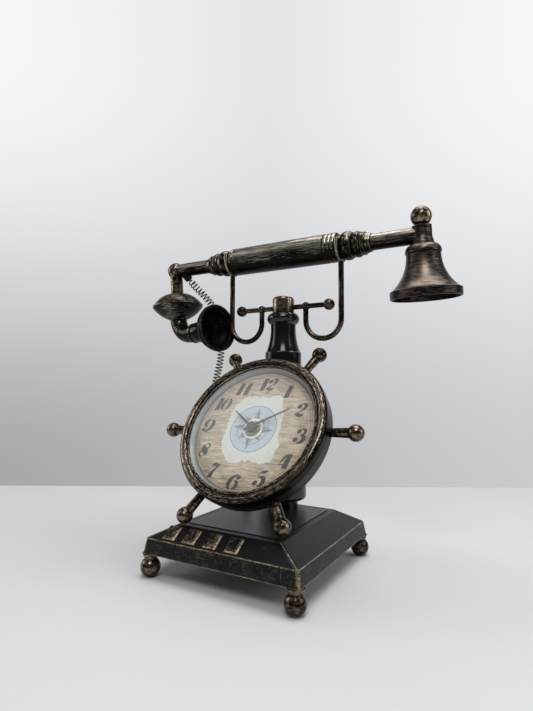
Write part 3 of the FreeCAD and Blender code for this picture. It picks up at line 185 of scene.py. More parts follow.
outness = put(sky, "ShaderNodeMapRange", {"Value": outness, "From Max": WALL_SIDE})
low = put(sky, "ShaderNodeMix", {"Factor": rightness, "A": linear(WALL_LOW_LEFT),
                                 "B": linear(WALL_LOW_RIGHT)}, data_type="RGBA")
high = put(sky, "ShaderNodeMix", {"Factor": outness, "A": linear(WALL_HIGH_MIDDLE),
                                  "B": linear(WALL_HIGH_SIDE)}, data_type="RGBA")
wall = put(sky, "ShaderNodeMix", {"Factor": rise, "A": low, "B": high}, data_type="RGBA")
# Away from the wall behind the clock the room is dim, as metal shows it, but for one high window
room = put(sky, "ShaderNodeMapRange", {"Value": depth, "From Min": ROOM_FROM, "From Max": ROOM_TO,
                                       "To Min": ROOM_DARK}, interpolation_type="SMOOTHSTEP")
ceiling = put(sky, "ShaderNodeMapRange", {"Value": climb, "From Min": CEILING_FROM, "From Max": CEILING_TO,
                                          "To Min": 1.0, "To Max": CEILING_DARK},
              interpolation_type="SMOOTHSTEP")
room = put(sky, "ShaderNodeMath", {0: room, 1: ceiling}, operation="MULTIPLY")
window = put(sky, "ShaderNodeMapRange", {"Value": near, "From Min": WINDOW_FROM, "From Max": WINDOW_TO,
                                         "To Max": WINDOW_GLOW}, interpolation_type="SMOOTHSTEP")
room = put(sky, "ShaderNodeMath", {0: room, 1: window})
ray = put(sky, "ShaderNodeLightPath").outputs
lit = put(sky, "ShaderNodeMath", {0: room, 1: ray["Is Camera Ray"]}, operation="MAXIMUM")
seen = put(sky, "ShaderNodeMath", {0: ray["Is Camera Ray"], 1: ray["Is Glossy Ray"]}, operation="MAXIMUM")
seen = put(sky, "ShaderNodeMath", {0: seen, 1: ray["Is Transmission Ray"]}, operation="MAXIMUM")
# Matt surfaces get an even dim light from all round, and the lamps give them the rest
filling = put(sky, "ShaderNodeBackground", {"Color": linear(FILL), "Strength": 1.0})
shown = put(sky, "ShaderNodeBackground", {"Color": wall, "Strength": lit})
mixed = put(sky, "ShaderNodeMixShader", {0: seen, 1: filling, 2: shown})
put(sky, "ShaderNodeOutputWorld", {"Surface": mixed})

# The table is painted board: matt, so the clock's shadow on it is soft and nothing mirrors
table_top, tree, shader = finish("matt_table_board")
place = put(tree, "ShaderNodeTexCoord").outputs["Object"]
grain = put(tree, "ShaderNodeTexNoise", {"Vector": place, "Scale": 1 / FLOOR_GRAIN, "Detail": 4.0})
tone = put(tree, "ShaderNodeMapRange", {"Value": grain, "To Min": FLOOR_SHADE, "To Max": 1.0})
pale = put(tree, "ShaderNodeVectorMath", {0: linear(FLOOR_PALE)[:3], "Scale": tone}, operation="SCALE")
plug(shader, {"Base Color": pale, "Roughness": FLOOR_DULL})
floor_grid = np.array([[across * side * FLOOR_REACH + away * depth for side in (-1, 1)]
                       for depth in (-FLOOR_REACH, FLOOR_BEHIND)])
surface("table_top", [floor_grid], table_top)


# Soft boxes: one large one over the clock, one above the camera and one at each side.
# Each is given by its place and its side in metres, and its power in watts.
LAMPS = {
    "overhead_box": ((0.12, 0.15, 1.05), 0.8, 7.3),
    "front_box": ((0.33, -0.75, 1.12), 0.5, 5.6),
    "right_box": ((1.00, 0.15, 0.55), 0.6, 2.8),
    "left_box": ((-0.95, -0.30, 0.45), 0.5, 2.0),
}
LAMP_TARGET = Vector((0.0, 0.0, 0.12))
for name, (spot, side, watts) in LAMPS.items():
    lamp = bpy.data.objects.new(name, bpy.data.lights.new(name, "AREA"))
    lamp.data.size = side
    lamp.data.energy = watts
    lamp.location = spot
    lamp.rotation_euler = (LAMP_TARGET - Vector(spot)).to_track_quat("-Z", "Y").to_euler()
    scene.collection.objects.link(lamp)


# Base: sheet steel pressed to a hipped box, stoved black, with a closing plate inside and a ferrule for
# the cord. Bronze was dragged over it on a nearly dry brush and took mostly on the edges.
BLACKENED = "#1e1b18"
BRONZE = "#a0958a"
GOLD = "#d6bd9a"
BRUSH_HAIRS = {"Scale": 1.0, "Detail": 4.0, "Roughness": 0.68}
PATCH = 14.0 * MM
EDGE_RAYS, HOLLOW_RAYS = 8, 4
EDGE_FROM, EDGE_FULL = 0.96, 0.78
EDGE_GAIN = 0.2
LIT_FROM, LIT_FULL = 0.25, 0.6
HOLLOW_REACH = 5.0 * MM
HOLLOW_DEEP, HOLLOW_OPEN = 0.3, 0.9
HOLLOW_LOSS = 0.3
NOISE_MEAN = 0.5
BARE_LEVEL, COVER_GAIN = 0.73, 0.46
ONE_COAT_GOLD, TWO_COAT_GOLD, GOLD_SPREAD = 0.36, 0.45, 0.22
BRONZE_METALLIC, GOLD_METALLIC = 0.9, 0.35
STREAK_LOW, STREAK_HIGH = 0.3, 0.7
SMOOTHER, ROUGHER = 0.06, 0.12
PAINT_RELIEF, PAINT_THICK = 0.3, 0.10 * MM


def dress(material, *names):
    """Gives CAD nodes that material."""
    for name in names:
        for slot in frame["nodes"][name].material_slots:
            slot.material = material


def dry_brushed(name, stroke, cover, edge, rub, under=BLACKENED, metal=BRONZE, sheen=0.85, dull=0.28,
                turn=(0.0, 0.0, 0.0), patchy=0.5, soft=0.10, shine=0.3, brush_or_highlight_side=None, load=0.2, cross=None,
                folds=(), lit=None, follow=None):
    """Dark metal or enamel with bronze dragged over it, and pale gold rubbed along the edges.

    stroke is the streaks' size in mm along the piece's three directions, or along those that follow
    works out, and cross that of a second coat. cover is the share that took bronze and soft how gradually
    it begins. edge is how many mm in from a sharp edge the gold reaches, rub how much of it, folds the
    blunt edges that took it too, each as a point, a direction and a reach in mm on the corner with x and
    y positive, and lit the way that gilded edges face: gold kept to edges facing the light is a painted
    highlight. A point's paint is its streak noise, raised by patches, near an edge and, by load, on the
    side that the side vector points to, and lowered in hollows. That side is where the brushing came
    from, or, on the handset, the side towards the front lamp, where the extra bronze is a painted
    highlight.
    sheen is how metallic the dark ground is, dull its roughness and shine its specular level."""
    material, tree, shader = finish(name)
    coordinates = put(tree, "ShaderNodeTexCoord").outputs
    place, normal = coordinates["Object"], coordinates["Normal"]
    route = follow(tree, place) if follow else place
    coats = []
    for lengths in (stroke, cross) if cross else (stroke,):
        size = [length * MM for length in lengths]
        drag = put(tree, "ShaderNodeMapping", {"Vector": route, "Rotation": turn, "Scale": size},
                   vector_type="TEXTURE")
        coats.append(put(tree, "ShaderNodeTexNoise", {"Vector": drag, **BRUSH_HAIRS}))
    streak = coats[0]
    if cross:
        streak = put(tree, "ShaderNodeMath", {0: coats[0], 1: coats[1]}, operation="MAXIMUM")
    cloud = put(tree, "ShaderNodeTexNoise", {"Vector": place, "Scale": 1 / PATCH, "Detail": 2.0})
    inside = put(tree, "ShaderNodeAmbientOcclusion", {"Distance": edge * MM}, inside=True, only_local=True,
                 samples=EDGE_RAYS).outputs["AO"]
    corner = put(tree, "ShaderNodeMapRange", {"Value": inside, "From Min": EDGE_FROM,
                                              "From Max": EDGE_FULL})
    for point, run, reach in folds:
        # All corners fold onto one. The distance from a line is the length of the cross product with it
        folded = put(tree, "ShaderNodeVectorMath", {0: place}, operation="ABSOLUTE")
        apart = put(tree, "ShaderNodeVectorMath", {0: folded, 1: Vector(point) * MM}, operation="SUBTRACT")
        apart = put(tree, "ShaderNodeVectorMath", {0: apart, 1: Vector(run).normalized()},
                    operation="CROSS_PRODUCT")
        apart = put(tree, "ShaderNodeVectorMath", {0: apart}, operation="LENGTH")
        blunt = put(tree, "ShaderNodeMapRange", {"Value": apart, "From Min": reach * MM, "From Max": 0.0})
        corner = put(tree, "ShaderNodeMath", {0: corner, 1: blunt}, operation="MAXIMUM")
    if lit is not None:
        facing = put(tree, "ShaderNodeVectorMath", {0: normal, 1: lit}, operation="DOT_PRODUCT")
        shown = put(tree, "ShaderNodeMapRange", {"Value": facing, "From Min": LIT_FROM,
                                                 "From Max": LIT_FULL})
        corner = put(tree, "ShaderNodeMath", {0: corner, 1: shown}, operation="MULTIPLY")
    hollow = put(tree, "ShaderNodeAmbientOcclusion", {"Distance": HOLLOW_REACH}, samples=HOLLOW_RAYS)
    loss = put(tree, "ShaderNodeMapRange", {"Value": hollow.outputs["AO"], "From Min": HOLLOW_DEEP,
                                            "From Max": HOLLOW_OPEN, "To Min": -HOLLOW_LOSS, "To Max": 0.0})
    paint = put(tree, "ShaderNodeMath", {0: cloud, 1: patchy, 2: streak}, operation="MULTIPLY_ADD")
    paint = put(tree, "ShaderNodeMath", {0: corner, 1: EDGE_GAIN * rub, 2: paint}, operation="MULTIPLY_ADD")
    paint = put(tree, "ShaderNodeMath", {0: paint, 1: loss})
    if brush_or_highlight_side is not None:
        facing = put(tree, "ShaderNodeVectorMath", {0: normal, 1: brush_or_highlight_side}, operation="DOT_PRODUCT")
        paint = put(tree, "ShaderNodeMath", {0: facing, 1: load, 2: paint}, operation="MULTIPLY_ADD")
    # Patches raise all the paint by their mean, so the level from which bronze shows rises with them
    level = BARE_LEVEL + NOISE_MEAN * patchy - COVER_GAIN * cover
    bronze = put(tree, "ShaderNodeMapRange", {"Value": paint, "From Min": level - soft,
                                              "From Max": level + soft}, interpolation_type="SMOOTHSTEP")
    thin = TWO_COAT_GOLD if cross else ONE_COAT_GOLD
    rubbed = put(tree, "ShaderNodeMapRange", {"Value": streak, "From Min": thin,
                                              "From Max": thin + GOLD_SPREAD, "To Max": rub})
    gold = put(tree, "ShaderNodeMath", {0: rubbed, 1: corner}, operation="MULTIPLY")
    colour = put(tree, "ShaderNodeMix", {"Factor": bronze, "A": linear(under), "B": linear(metal)},
                 data_type="RGBA")
    colour = put(tree, "ShaderNodeMix", {"Factor": gold, "A": colour, "B": linear(GOLD)}, data_type="RGBA")
    # Bare metal mirrors the room, and thick gold paint scatters most of the light
    bare = put(tree, "ShaderNodeMapRange", {"Value": bronze, "To Min": sheen, "To Max": BRONZE_METALLIC})
    bare = put(tree, "ShaderNodeMix", {"Factor": gold, "A": bare, "B": GOLD_METALLIC})
    gloss = put(tree, "ShaderNodeMapRange", {"Value": streak, "From Min": STREAK_LOW,
                                             "From Max": STREAK_HIGH, "To Min": dull - SMOOTHER,
                                             "To Max": dull + ROUGHER})
    relief = put(tree, "ShaderNodeBump", {"Strength": PAINT_RELIEF, "Distance": PAINT_THICK,
                                          "Height": paint})
    plug(shader, {"Base Color": colour, "Metallic": bare, "Roughness": gloss, "Specular IOR Level": shine,
                  "Normal": relief})
    return material


# Blunt edges in mm: round the band's top, down its corners, and up the hips of the slopes
BAND_EDGE, BAND_CORNER = (58.35, 58.35, 25.8), (57.6, 57.6, 25.8)
DOWN_CORNER, UP_HIP = (-1.65, -1.65, 10.0), (-17.95, -12.85, 8.9)
base_folds = [
    (BAND_EDGE, (1.0, 0.0, 0.0), 0.65),
    (BAND_EDGE, (0.0, 1.0, 0.0), 0.65),
    (BAND_CORNER, DOWN_CORNER, 2.0),
    (BAND_CORNER, UP_HIP, 0.55),
]
# The brush's hairs left lines finer than these, which are as wide as they need to be to show
base_paint = dry_brushed("dry_brushed_black_sheet", stroke=(0.7, 0.7, 5.0), cross=(7.0, 7.0, 0.7),
                         cover=0.24, edge=0.45, rub=0.9, under="#060608", metal="#68635c", sheen=0.0,
                         dull=0.36, shine=0.27, patchy=0.2, brush_or_highlight_side=(0.0, 0.0, -1.0), load=0.12,
                         folds=base_folds)
dress(base_paint, "base_shell", "base_plate", "cord_socket_base")


# Feet: four brass balls turned with a flared neck and a stud. They were blackened and rubbed back to the
# metal in blotches, which shine between dull brown patches.
WARM_BRONZE = "#958471"
DARKENED = "#15120f"
ball_paint = dry_brushed("rubbed_bronze_balls", stroke=(2.6, 2.6, 1.8), cover=0.35, edge=0.4, rub=0.1,
                         under=DARKENED, metal=WARM_BRONZE, dull=0.2, soft=0.2)
dress(ball_paint, "foot_front_left", "foot_front_right", "foot_back_left", "foot_back_right")


# Keys: four cast tablets with bevelled sides, fixed on the front slope and painted with the base.
# Gold is kept to the bevels that face right and down the slope, towards the lamps: real rubbed gold, laid
# only where light falls as a painted highlight that sets each tablet off.
key_paint = dry_brushed("picked_out_key_tablets", stroke=(1.6, 1.6, 1.6), cover=0.30, edge=0.9, rub=1.0,
                        under="#0a0a0b", metal=WARM_BRONZE, sheen=0.0, dull=0.34, lit=(1.0, -0.7, -0.7))
dress(key_paint, "key_tablets")


# Plain hardware: the tie rod with its nut, the foot nuts, the drum's screws, the cell's spring plates
# and the dial's nut. All are machined steel, bright, with a fine turned grain.
FLECK_RELIEF = 0.3


def flecked(name, one, other, fleck, detail, dull, metallic=0.0, spread=None, relief=0.0):
    """Two near tones, mixed by a noise of fleck mm, or by the part of it between the ends of spread.

    dull is the roughness, the same all over or running from the one tone's to the other's. relief is
    how many mm the noise stands proud."""
    material, tree, shader = finish(name)
    place = put(tree, "ShaderNodeTexCoord").outputs["Object"]
    noise = put(tree, "ShaderNodeTexNoise", {"Vector": place, "Scale": 1 / (fleck * MM), "Detail": detail})
    share = noise
    if spread:
        first, last = spread
        share = put(tree, "ShaderNodeMapRange", {"Value": noise, "From Min": first, "From Max": last})
    tone = put(tree, "ShaderNodeMix", {"Factor": share, "A": linear(one), "B": linear(other)},
               data_type="RGBA")
    gloss = dull
    if isinstance(dull, tuple):
        first, last = dull
        gloss = put(tree, "ShaderNodeMapRange", {"Value": noise, "To Min": first, "To Max": last})
    plug(shader, {"Base Color": tone, "Roughness": gloss, "Metallic": metallic})
    if relief:
        bump = put(tree, "ShaderNodeBump", {"Strength": FLECK_RELIEF, "Distance": relief * MM,
                                            "Height": noise})
        plug(shader, {"Normal": bump})
    return material


plain_steel = flecked("machined_steel", "#8d8f92", "#b9babb", fleck=0.6, detail=2.0, dull=(0.25, 0.45),
                      metallic=1.0)
dress(plain_steel, "foot_nuts", "tie_rod", "tie_nut", "drum_screws", "battery_contacts", "dial_nut")


# Pedestal and column: a turned block, and a turned shaft with a bottle neck, clamped by the tie rod.
# Their thick glossy black enamel has the slight waves of a brushed-on coat and clear reflections.
ENAMEL_DUSTY = "#1d1d1f"
ENAMEL_DUST = 0.7 * MM
DUST_FROM, DUST_TO = 0.3, 0.7
DUST_SMOOTHER, DUST_ROUGHER = 0.05, 0.08
WAVE_RELIEF = 0.5


def enamel(name, black, dull, wave, height):
    """Black enamel of that roughness: a coat with waves of wave mm by height mm, and faint dust in it."""
    material, tree, shader = finish(name)
    place = put(tree, "ShaderNodeTexCoord").outputs["Object"]
    coat = put(tree, "ShaderNodeTexNoise", {"Vector": place, "Scale": 1 / (wave * MM), "Detail": 2.0})
    dust = put(tree, "ShaderNodeTexNoise", {"Vector": place, "Scale": 1 / ENAMEL_DUST, "Detail": 2.0})
    tone = put(tree, "ShaderNodeMix", {"Factor": dust, "A": linear(black), "B": linear(ENAMEL_DUSTY)},
               data_type="RGBA")
    gloss = put(tree, "ShaderNodeMapRange", {"Value": dust, "From Min": DUST_FROM, "From Max": DUST_TO,
                                             "To Min": dull - DUST_SMOOTHER, "To Max": dull + DUST_ROUGHER})
    relief = put(tree, "ShaderNodeBump", {"Strength": WAVE_RELIEF, "Distance": height * MM, "Height": coat})
    plug(shader, {"Base Color": tone, "Roughness": gloss, "Normal": relief})
    return material


column_enamel = enamel("glossy_black_enamel", "#08080a", dull=0.16, wave=6.0, height=0.22)
dress(column_enamel, "pedestal", "column")


# Column cap: a turned brass collar with a rounded top that carries the crossbar, clamped by the tie nut.
# It was darkened brown and rubbed round, so that fine level strokes of the metal shine.
cap_paint = dry_brushed("browned_brass_cap", stroke=(4.0, 4.0, 0.8), cover=0.48, edge=0.5, rub=0.3,
                        metal="#b5a28c", dull=0.2, soft=0.2)
dress(cap_paint, "column_cap")


# Crossbar, hooks and forks: a steel rod with a ball at each end, and bent wire hung from it. It was
# blackened and rubbed with bronze along its length, and the forks that hold the handset are worn bright.
wire_paint = dry_brushed("rubbed_bronze_wire", stroke=(0.6, 0.6, 6.0), cover=0.30, edge=0.3, rub=0.1,
                         metal=WARM_BRONZE, dull=0.24, soft=0.16)
dress(wire_paint, "crossbar", "hook_left", "hook_right")
fork_paint = dry_brushed("bright_rubbed_bronze_wire", stroke=(0.6, 0.6, 4.0), cover=0.66, edge=0.3, rub=0.2,
                         metal="#b3a68f", dull=0.3, soft=0.2)
dress(fork_paint, "fork_left", "fork_right")


# Drum and deck plate: a shallow pressed can screwed to the column, and a flat sheet on the base's top.
# Both have satin charcoal paint, smooth all over, which blurs what it mirrors.
charcoal = enamel("satin_charcoal_paint", "#0c0f12", dull=0.36, wave=16.0, height=0.05)
dress(charcoal, "drum_case", "deck_plate")


# Bezel and spokes: a half-round cast ring and turned handles with ball ends, black with bronze
# rubbed over the cast skin, so that it shows as speckles and bright crests.
clock_hand = next(joint for joint in frame["joints"] if joint["name"] == "minute_turn")
HUB = np.array(clock_hand["pos_m"])
DIAL_OUT = -np.array(clock_hand["axis"]) / np.linalg.norm(clock_hand["axis"])
DIAL_RIGHT = np.array([1.0, 0.0, 0.0])
DIAL_UP = np.cross(DIAL_OUT, DIAL_RIGHT)
DIAL_TURN = Matrix(np.stack([DIAL_RIGHT, DIAL_UP, DIAL_OUT], axis=1).tolist()).to_euler()
RING_RADIUS = 57.0 * MM
SPOKES = 6
SMOKED = "#14110f"


def on_the_dial(tree, place):
    """Coordinates turned to the dial: across, up and out from its hub."""
    return put(tree, "ShaderNodeMapping", {"Vector": place, "Location": HUB, "Rotation": DIAL_TURN},
               vector_type="TEXTURE")


def round_the_dial(tree, place):
    """Coordinates that follow the ring: the arc from twelve o'clock, the radius, and the height."""
    parts = put(tree, "ShaderNodeSeparateXYZ", {0: on_the_dial(tree, place)}).outputs
    bearing = put(tree, "ShaderNodeMath", {0: parts["X"], 1: parts["Y"]}, operation="ARCTAN2")
    arc = put(tree, "ShaderNodeMath", {0: bearing, 1: RING_RADIUS}, operation="MULTIPLY")
    level = put(tree, "ShaderNodeCombineXYZ", {"X": parts["X"], "Y": parts["Y"]})
    reach = put(tree, "ShaderNodeVectorMath", {0: level}, operation="LENGTH")
    return put(tree, "ShaderNodeCombineXYZ", {"X": arc, "Y": reach, "Z": parts["Z"]})


bezel_paint = dry_brushed("round_brushed_bronze_ring", stroke=(3.2, 0.45, 0.45), cover=-0.22, edge=0.4,
                          rub=0.2, under=SMOKED, metal="#a89a8a", dull=0.24, patchy=0.2, brush_or_highlight_side=DIAL_OUT,
                          load=0.32, follow=round_the_dial)
dress(bezel_paint, "bezel")
spoke_paint = dry_brushed("rubbed_bronze_handles", stroke=(2.4, 2.4, 3.0), cover=0.36, edge=0.4, rub=0.1,
                          under=DARKENED, metal=WARM_BRONZE, dull=0.2, turn=DIAL_TURN, soft=0.22)
dress(spoke_paint, *[f"spoke_{number + 1}" for number in range(SPOKES)])


# Dial: a disc of board under a sheet of aged printed paper, tan with faint level streaks and brown
# blotches from age, which darken towards the edge as painted shade from the bezel's wall, on a card ring,
# with a satin grey strip round it under the glass.
DIAL_EDGE = 46.9 * MM
PAPER, PAPER_PALE, PAPER_BROWN = "#947e69", "#c7b6a1", "#6a5444"
# The print's streaks are about half as wide as these, which are as wide as they need to be to show
PAPER_STREAK = (9 * MM, 1.1 * MM, MM)
STREAK_DARK, STREAK_PALE = 0.36, 0.64
PAPER_BLOTCH = 11 * MM
PAPER_ROUGHNESS = 0.65
BLOTCH_FROM, BLOTCH_TO, BLOTCH_MOST = 0.42, 0.75, 0.8
EDGE_SHADE_FROM, EDGE_SHADE_LEAST = 0.55, 0.25
PAPER_DULL = 0.8
FIBRE_RELIEF, FIBRE = 0.2, 0.05 * MM
STRIP_SHADED, STRIP_LIT = "#4c4a48", "#b8b8b8"
STRIP_ROLL = (20 * MM, 20 * MM, 0.4 * MM)
STRIP_DULL = (0.3, 0.5)
STRIP_METALLIC = 0.5


def node_points(name):
    """All vertices of a CAD node, as an array."""
    mesh = frame["nodes"][name].data
    points = np.empty(len(mesh.vertices) * 3)
    mesh.vertices.foreach_get("co", points)
    return points.reshape(-1, 3)


DIAL_FACE = float(((node_points("dial") - HUB) @ DIAL_OUT).max())
paper, tree, shader = finish("aged_dial_paper")
flat = on_the_dial(tree, put(tree, "ShaderNodeTexCoord").outputs["Object"])
level = put(tree, "ShaderNodeMapping", {"Vector": flat, "Scale": PAPER_STREAK}, vector_type="TEXTURE")
streaks = put(tree, "ShaderNodeTexNoise", {"Vector": level, "Scale": 1.0, "Detail": 4.0,
                                           "Roughness": PAPER_ROUGHNESS})
faded = put(tree, "ShaderNodeMapRange", {"Value": streaks, "From Min": STREAK_DARK,
                                         "From Max": STREAK_PALE})
blotch = put(tree, "ShaderNodeTexNoise", {"Vector": flat, "Scale": 1 / PAPER_BLOTCH, "Detail": 5.0,
                                          "Roughness": PAPER_ROUGHNESS})
radius = put(tree, "ShaderNodeVectorMath", {0: flat, 1: (1.0, 1.0, 0.0)}, operation="MULTIPLY")
radius = put(tree, "ShaderNodeVectorMath", {0: radius}, operation="LENGTH")
tone = put(tree, "ShaderNodeMix", {"Factor": faded, "A": linear(PAPER), "B": linear(PAPER_PALE)},
           data_type="RGBA")
# Painted shade: the blotches grow towards the edge, where the bezel's wall shades the paper
edge_shade = put(tree, "ShaderNodeMapRange", {"Value": radius, "From Min": EDGE_SHADE_FROM * DIAL_EDGE,
                                            "From Max": DIAL_EDGE, "To Min": EDGE_SHADE_LEAST})
brown = put(tree, "ShaderNodeMapRange", {"Value": blotch, "From Min": BLOTCH_FROM, "From Max": BLOTCH_TO,
                                         "To Max": BLOTCH_MOST})
brown = put(tree, "ShaderNodeMath", {0: brown, 1: edge_shade}, operation="MULTIPLY")
tone = put(tree, "ShaderNodeMix", {"Factor": brown, "A": tone, "B": linear(PAPER_BROWN)}, data_type="RGBA")
fibre = put(tree, "ShaderNodeBump", {"Strength": FIBRE_RELIEF, "Distance": FIBRE, "Height": streaks})
plug(shader, {"Base Color": tone, "Roughness": PAPER_DULL, "Normal": fibre})
dress(paper, "dial")

# Pasteboard is matt, with pale fibres in its grey
card = flecked("grey_pasteboard", "#8b8071", "#a59a89", fleck=0.8, detail=4.0, dull=0.85)
dress(card, "dial_seat_ring")

# The strip is rolled, with faint level lines. Its grey is painted darker towards the dial, as painted shade
# from the bezel, and paler towards the glass.
strip_heights = (node_points("dial_ring") - HUB) @ DIAL_OUT
strip, tree, shader = finish("satin_grey_metal_strip")
flat = on_the_dial(tree, put(tree, "ShaderNodeTexCoord").outputs["Object"])
lines = put(tree, "ShaderNodeMapping", {"Vector": flat, "Scale": STRIP_ROLL}, vector_type="TEXTURE")
roll = put(tree, "ShaderNodeTexNoise", {"Vector": lines, "Scale": 1.0})
height = put(tree, "ShaderNodeSeparateXYZ", {0: flat}).outputs["Z"]
climb = put(tree, "ShaderNodeMapRange", {"Value": height, "From Min": float(strip_heights.min()),
                                         "From Max": float(strip_heights.max())})
tone = put(tree, "ShaderNodeMix", {"Factor": climb, "A": linear(STRIP_SHADED), "B": linear(STRIP_LIT)},
           data_type="RGBA")
gloss = put(tree, "ShaderNodeMapRange", {"Value": roll, "To Min": STRIP_DULL[0], "To Max": STRIP_DULL[1]})
plug(shader, {"Base Color": tone, "Roughness": gloss, "Metallic": STRIP_METALLIC})
dress(strip, "dial_ring")


# Numerals: fat upright-set italic figures cut like a stencil and printed in soft black ink, with two
# fine rings near the edge. Each figure is a few swelling strokes and balls.
INK, INK_PALE = "#262220", "#413b38"
# Printing ink is dull, and patchy where the paper's tooth shows through
PRINTING_INK = {"fleck": 0.9, "detail": 4.0, "dull": 0.75, "spread": (0.45, 0.72)}
PRINT_LIFT = 0.05 * MM
INK_SHARE = 0.8
NUMERAL_HEIGHT = 10.6 * MM
NUMERAL_RING = 38.9 * MM
NUMERAL_CENTRE = np.array([-0.5, -1.6]) * MM
NUMERAL_SLANT = 0.24
DIGIT_STEP = 0.60
DIAL_SKEW = math.radians(2.5)
STROKE_STEPS = 15
BALL_STEPS = 14
BALL_CORE = 0.02
RING_LINES = [(44.3 * MM, 0.35 * MM), (45.7 * MM, 0.25 * MM)]
RING_STEPS = 180
RING_TURN = np.linspace(0.0, 2 * math.pi, RING_STEPS + 1)[None, :]
# Strokes are control points of a curve in a box one high: across, up, width. Balls: across, up, radius
FIGURES = {
    "0": [[(-.02, .98, .03), (-.36, .88, .36), (-.36, .12, .36), (-.02, .02, .03)],
          [(.04, .98, .03), (.36, .88, .32), (.36, .12, .32), (.04, .02, .03)]],
    "1": [[(0, 0, .36), (0, 1, .36)]],
    "2": [[(-.14, .92, .04), (.10, 1.10, .10), (.52, .82, .46), (.02, .42, .05)],
          [(.05, .46, .07), (-.27, .12, .07)],
          [(-.31, .10, .06), (-.12, .34, .26), (.06, -.14, .40), (.33, .24, .04)]],
    "3": [[(-.10, .95, .04), (.36, 1.06, .28), (.32, .54, .28), (.0, .53, .03)],
          [(.0, .51, .03), (.48, .54, .42), (.42, -.08, .40), (-.08, .02, .04)]],
    "4": [[(-.04, .96, .10), (-.20, .70, .30), (-.22, .56, .14), (-.30, .34, .03)],
          [(.14, 0, .34), (.14, 1, .34)], [(-.36, .27, .06), (.32, .27, .06)]],
    "5": [[(-.16, .96, .05), (.0, .84, .28), (.16, 1.06, .24), (.36, .98, .03)],
          [(-.17, .94, .06), (-.20, .56, .06)],
          [(-.18, .54, .05), (.30, .84, .32), (.52, .02, .46), (.0, .01, .05)]],
    "6": [[(.14, .98, .04), (-.42, .90, .38), (-.42, .02, .40), (.0, .01, .04)],
          [(.03, .56, .03), (.40, .60, .34), (.40, -.04, .34), (.05, .02, .03)]],
    "7": [[(-.28, .80, .05), (-.16, 1.18, .32), (.06, .74, .32), (.34, .98, .05)],
          [(.28, .90, .05), (.04, .60, .10), (-.10, .36, .32), (-.06, .0, .30)]],
    "8": [[(-.16, .92, .05), (-.46, .56, .48), (.46, .46, .50), (.16, .06, .05)],
          [(-.10, .95, .05), (.26, 1.10, .10), (.36, .70, .16), (.07, .56, .04)],
          [(-.07, .48, .04), (-.42, .36, .18), (-.32, -.10, .10), (.12, .04, .05)]],
}
BALLS = {"2": [(-.19, .76, .17)], "3": [(-.19, .80, .16), (-.21, .20, .17)], "5": [(-.21, .18, .17)],
         "6": [(.22, .81, .15)]}


def brush_stroke(points):
    """A stroke as a grid: a Bezier curve of its points, widened each way by half its swelling width."""
    controls = np.array(points, float)
    degree = len(controls) - 1
    share = np.linspace(0.0, 1.0, STROKE_STEPS)[:, None]
    weight = [math.comb(degree, k) * share ** k * (1 - share) ** (degree - k) for k in range(degree + 1)]
    line = sum(w * control for w, control in zip(weight, controls))
    run = np.gradient(line[:, :2], axis=0)
    run /= np.linalg.norm(run, axis=1, keepdims=True)
    square = np.stack([-run[:, 1], run[:, 0]], axis=1)
    half = square * line[:, 2:] / 2
    return np.stack([line[:, :2] + half, line[:, :2] - half], axis=1)


def ball(across_at, up_at, size):
    """A printed ball as a grid: circles from almost nothing out to its size."""
    angle = np.linspace(0.0, 2 * math.pi, BALL_STEPS + 1)[None, :]
    reach = np.array([[BALL_CORE], [1.0]]) * size
    return np.stack([across_at + reach * np.cos(angle), up_at + reach * np.sin(angle)], axis=2)


def figure(digit):
    """One digit's strokes and balls; a nine is a six turned half round."""
    if digit == "9":
        return [np.array([0.0, 1.0]) - grid for grid in figure("6")]
    strokes = [brush_stroke(points) for points in FIGURES[digit]]
    return strokes + [ball(*spot) for spot in BALLS.get(digit, [])]


def band(inner, outer):
    """A flat ring between two radii."""
    reach = np.array([[inner], [outer]])
    return np.stack([reach * np.cos(RING_TURN), reach * np.sin(RING_TURN)], axis=2)


def on_face(flat_points, lift):
    """Dial coordinates in metres, across and up from the hub, carried to the dial's face and lifted."""
    level = flat_points[..., :1] * DIAL_RIGHT + flat_points[..., 1:2] * DIAL_UP
    return HUB + level + (DIAL_FACE + lift) * DIAL_OUT


def printed(name, grids, ink, lift=PRINT_LIFT):
    """Flat shapes on the dial's face as one piece, nearly as thick as they stand off the paper."""
    piece = surface(name, [on_face(grid, lift) for grid in grids], ink)
    piece.data.shade_flat()
    layer = piece.modifiers.new("ink_layer", "SOLIDIFY")
    layer.thickness = lift * INK_SHARE
    layer.offset = 0.0
    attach(piece, "stand")


numeral_grids = []
for hour in range(1, 13):
    heading = math.pi / 2 - hour * math.pi / 6 - DIAL_SKEW
    middle = NUMERAL_CENTRE + NUMERAL_RING * np.array([math.cos(heading), math.sin(heading)])
    digits = str(hour)
    for index, digit in enumerate(digits):
        shift = DIGIT_STEP * (index - (len(digits) - 1) / 2)
        for grid in figure(digit):
            rise = grid[..., 1] - 0.5
            aside = grid[..., 0] + NUMERAL_SLANT * rise + shift
            numeral_grids.append(middle + NUMERAL_HEIGHT * np.stack([aside, rise], axis=-1))
black_ink = flecked("soft_black_printing_ink", INK, INK_PALE, **PRINTING_INK)
printed("dial_numerals", numeral_grids, black_ink)
ring_grids = [band(middle - width / 2, middle + width / 2) for middle, width in RING_LINES]
brown_ink = flecked("thin_brown_printing_ink", "#5d5347", "#85786a", **PRINTING_INK)
printed("dial_rings", ring_grids, brown_ink)


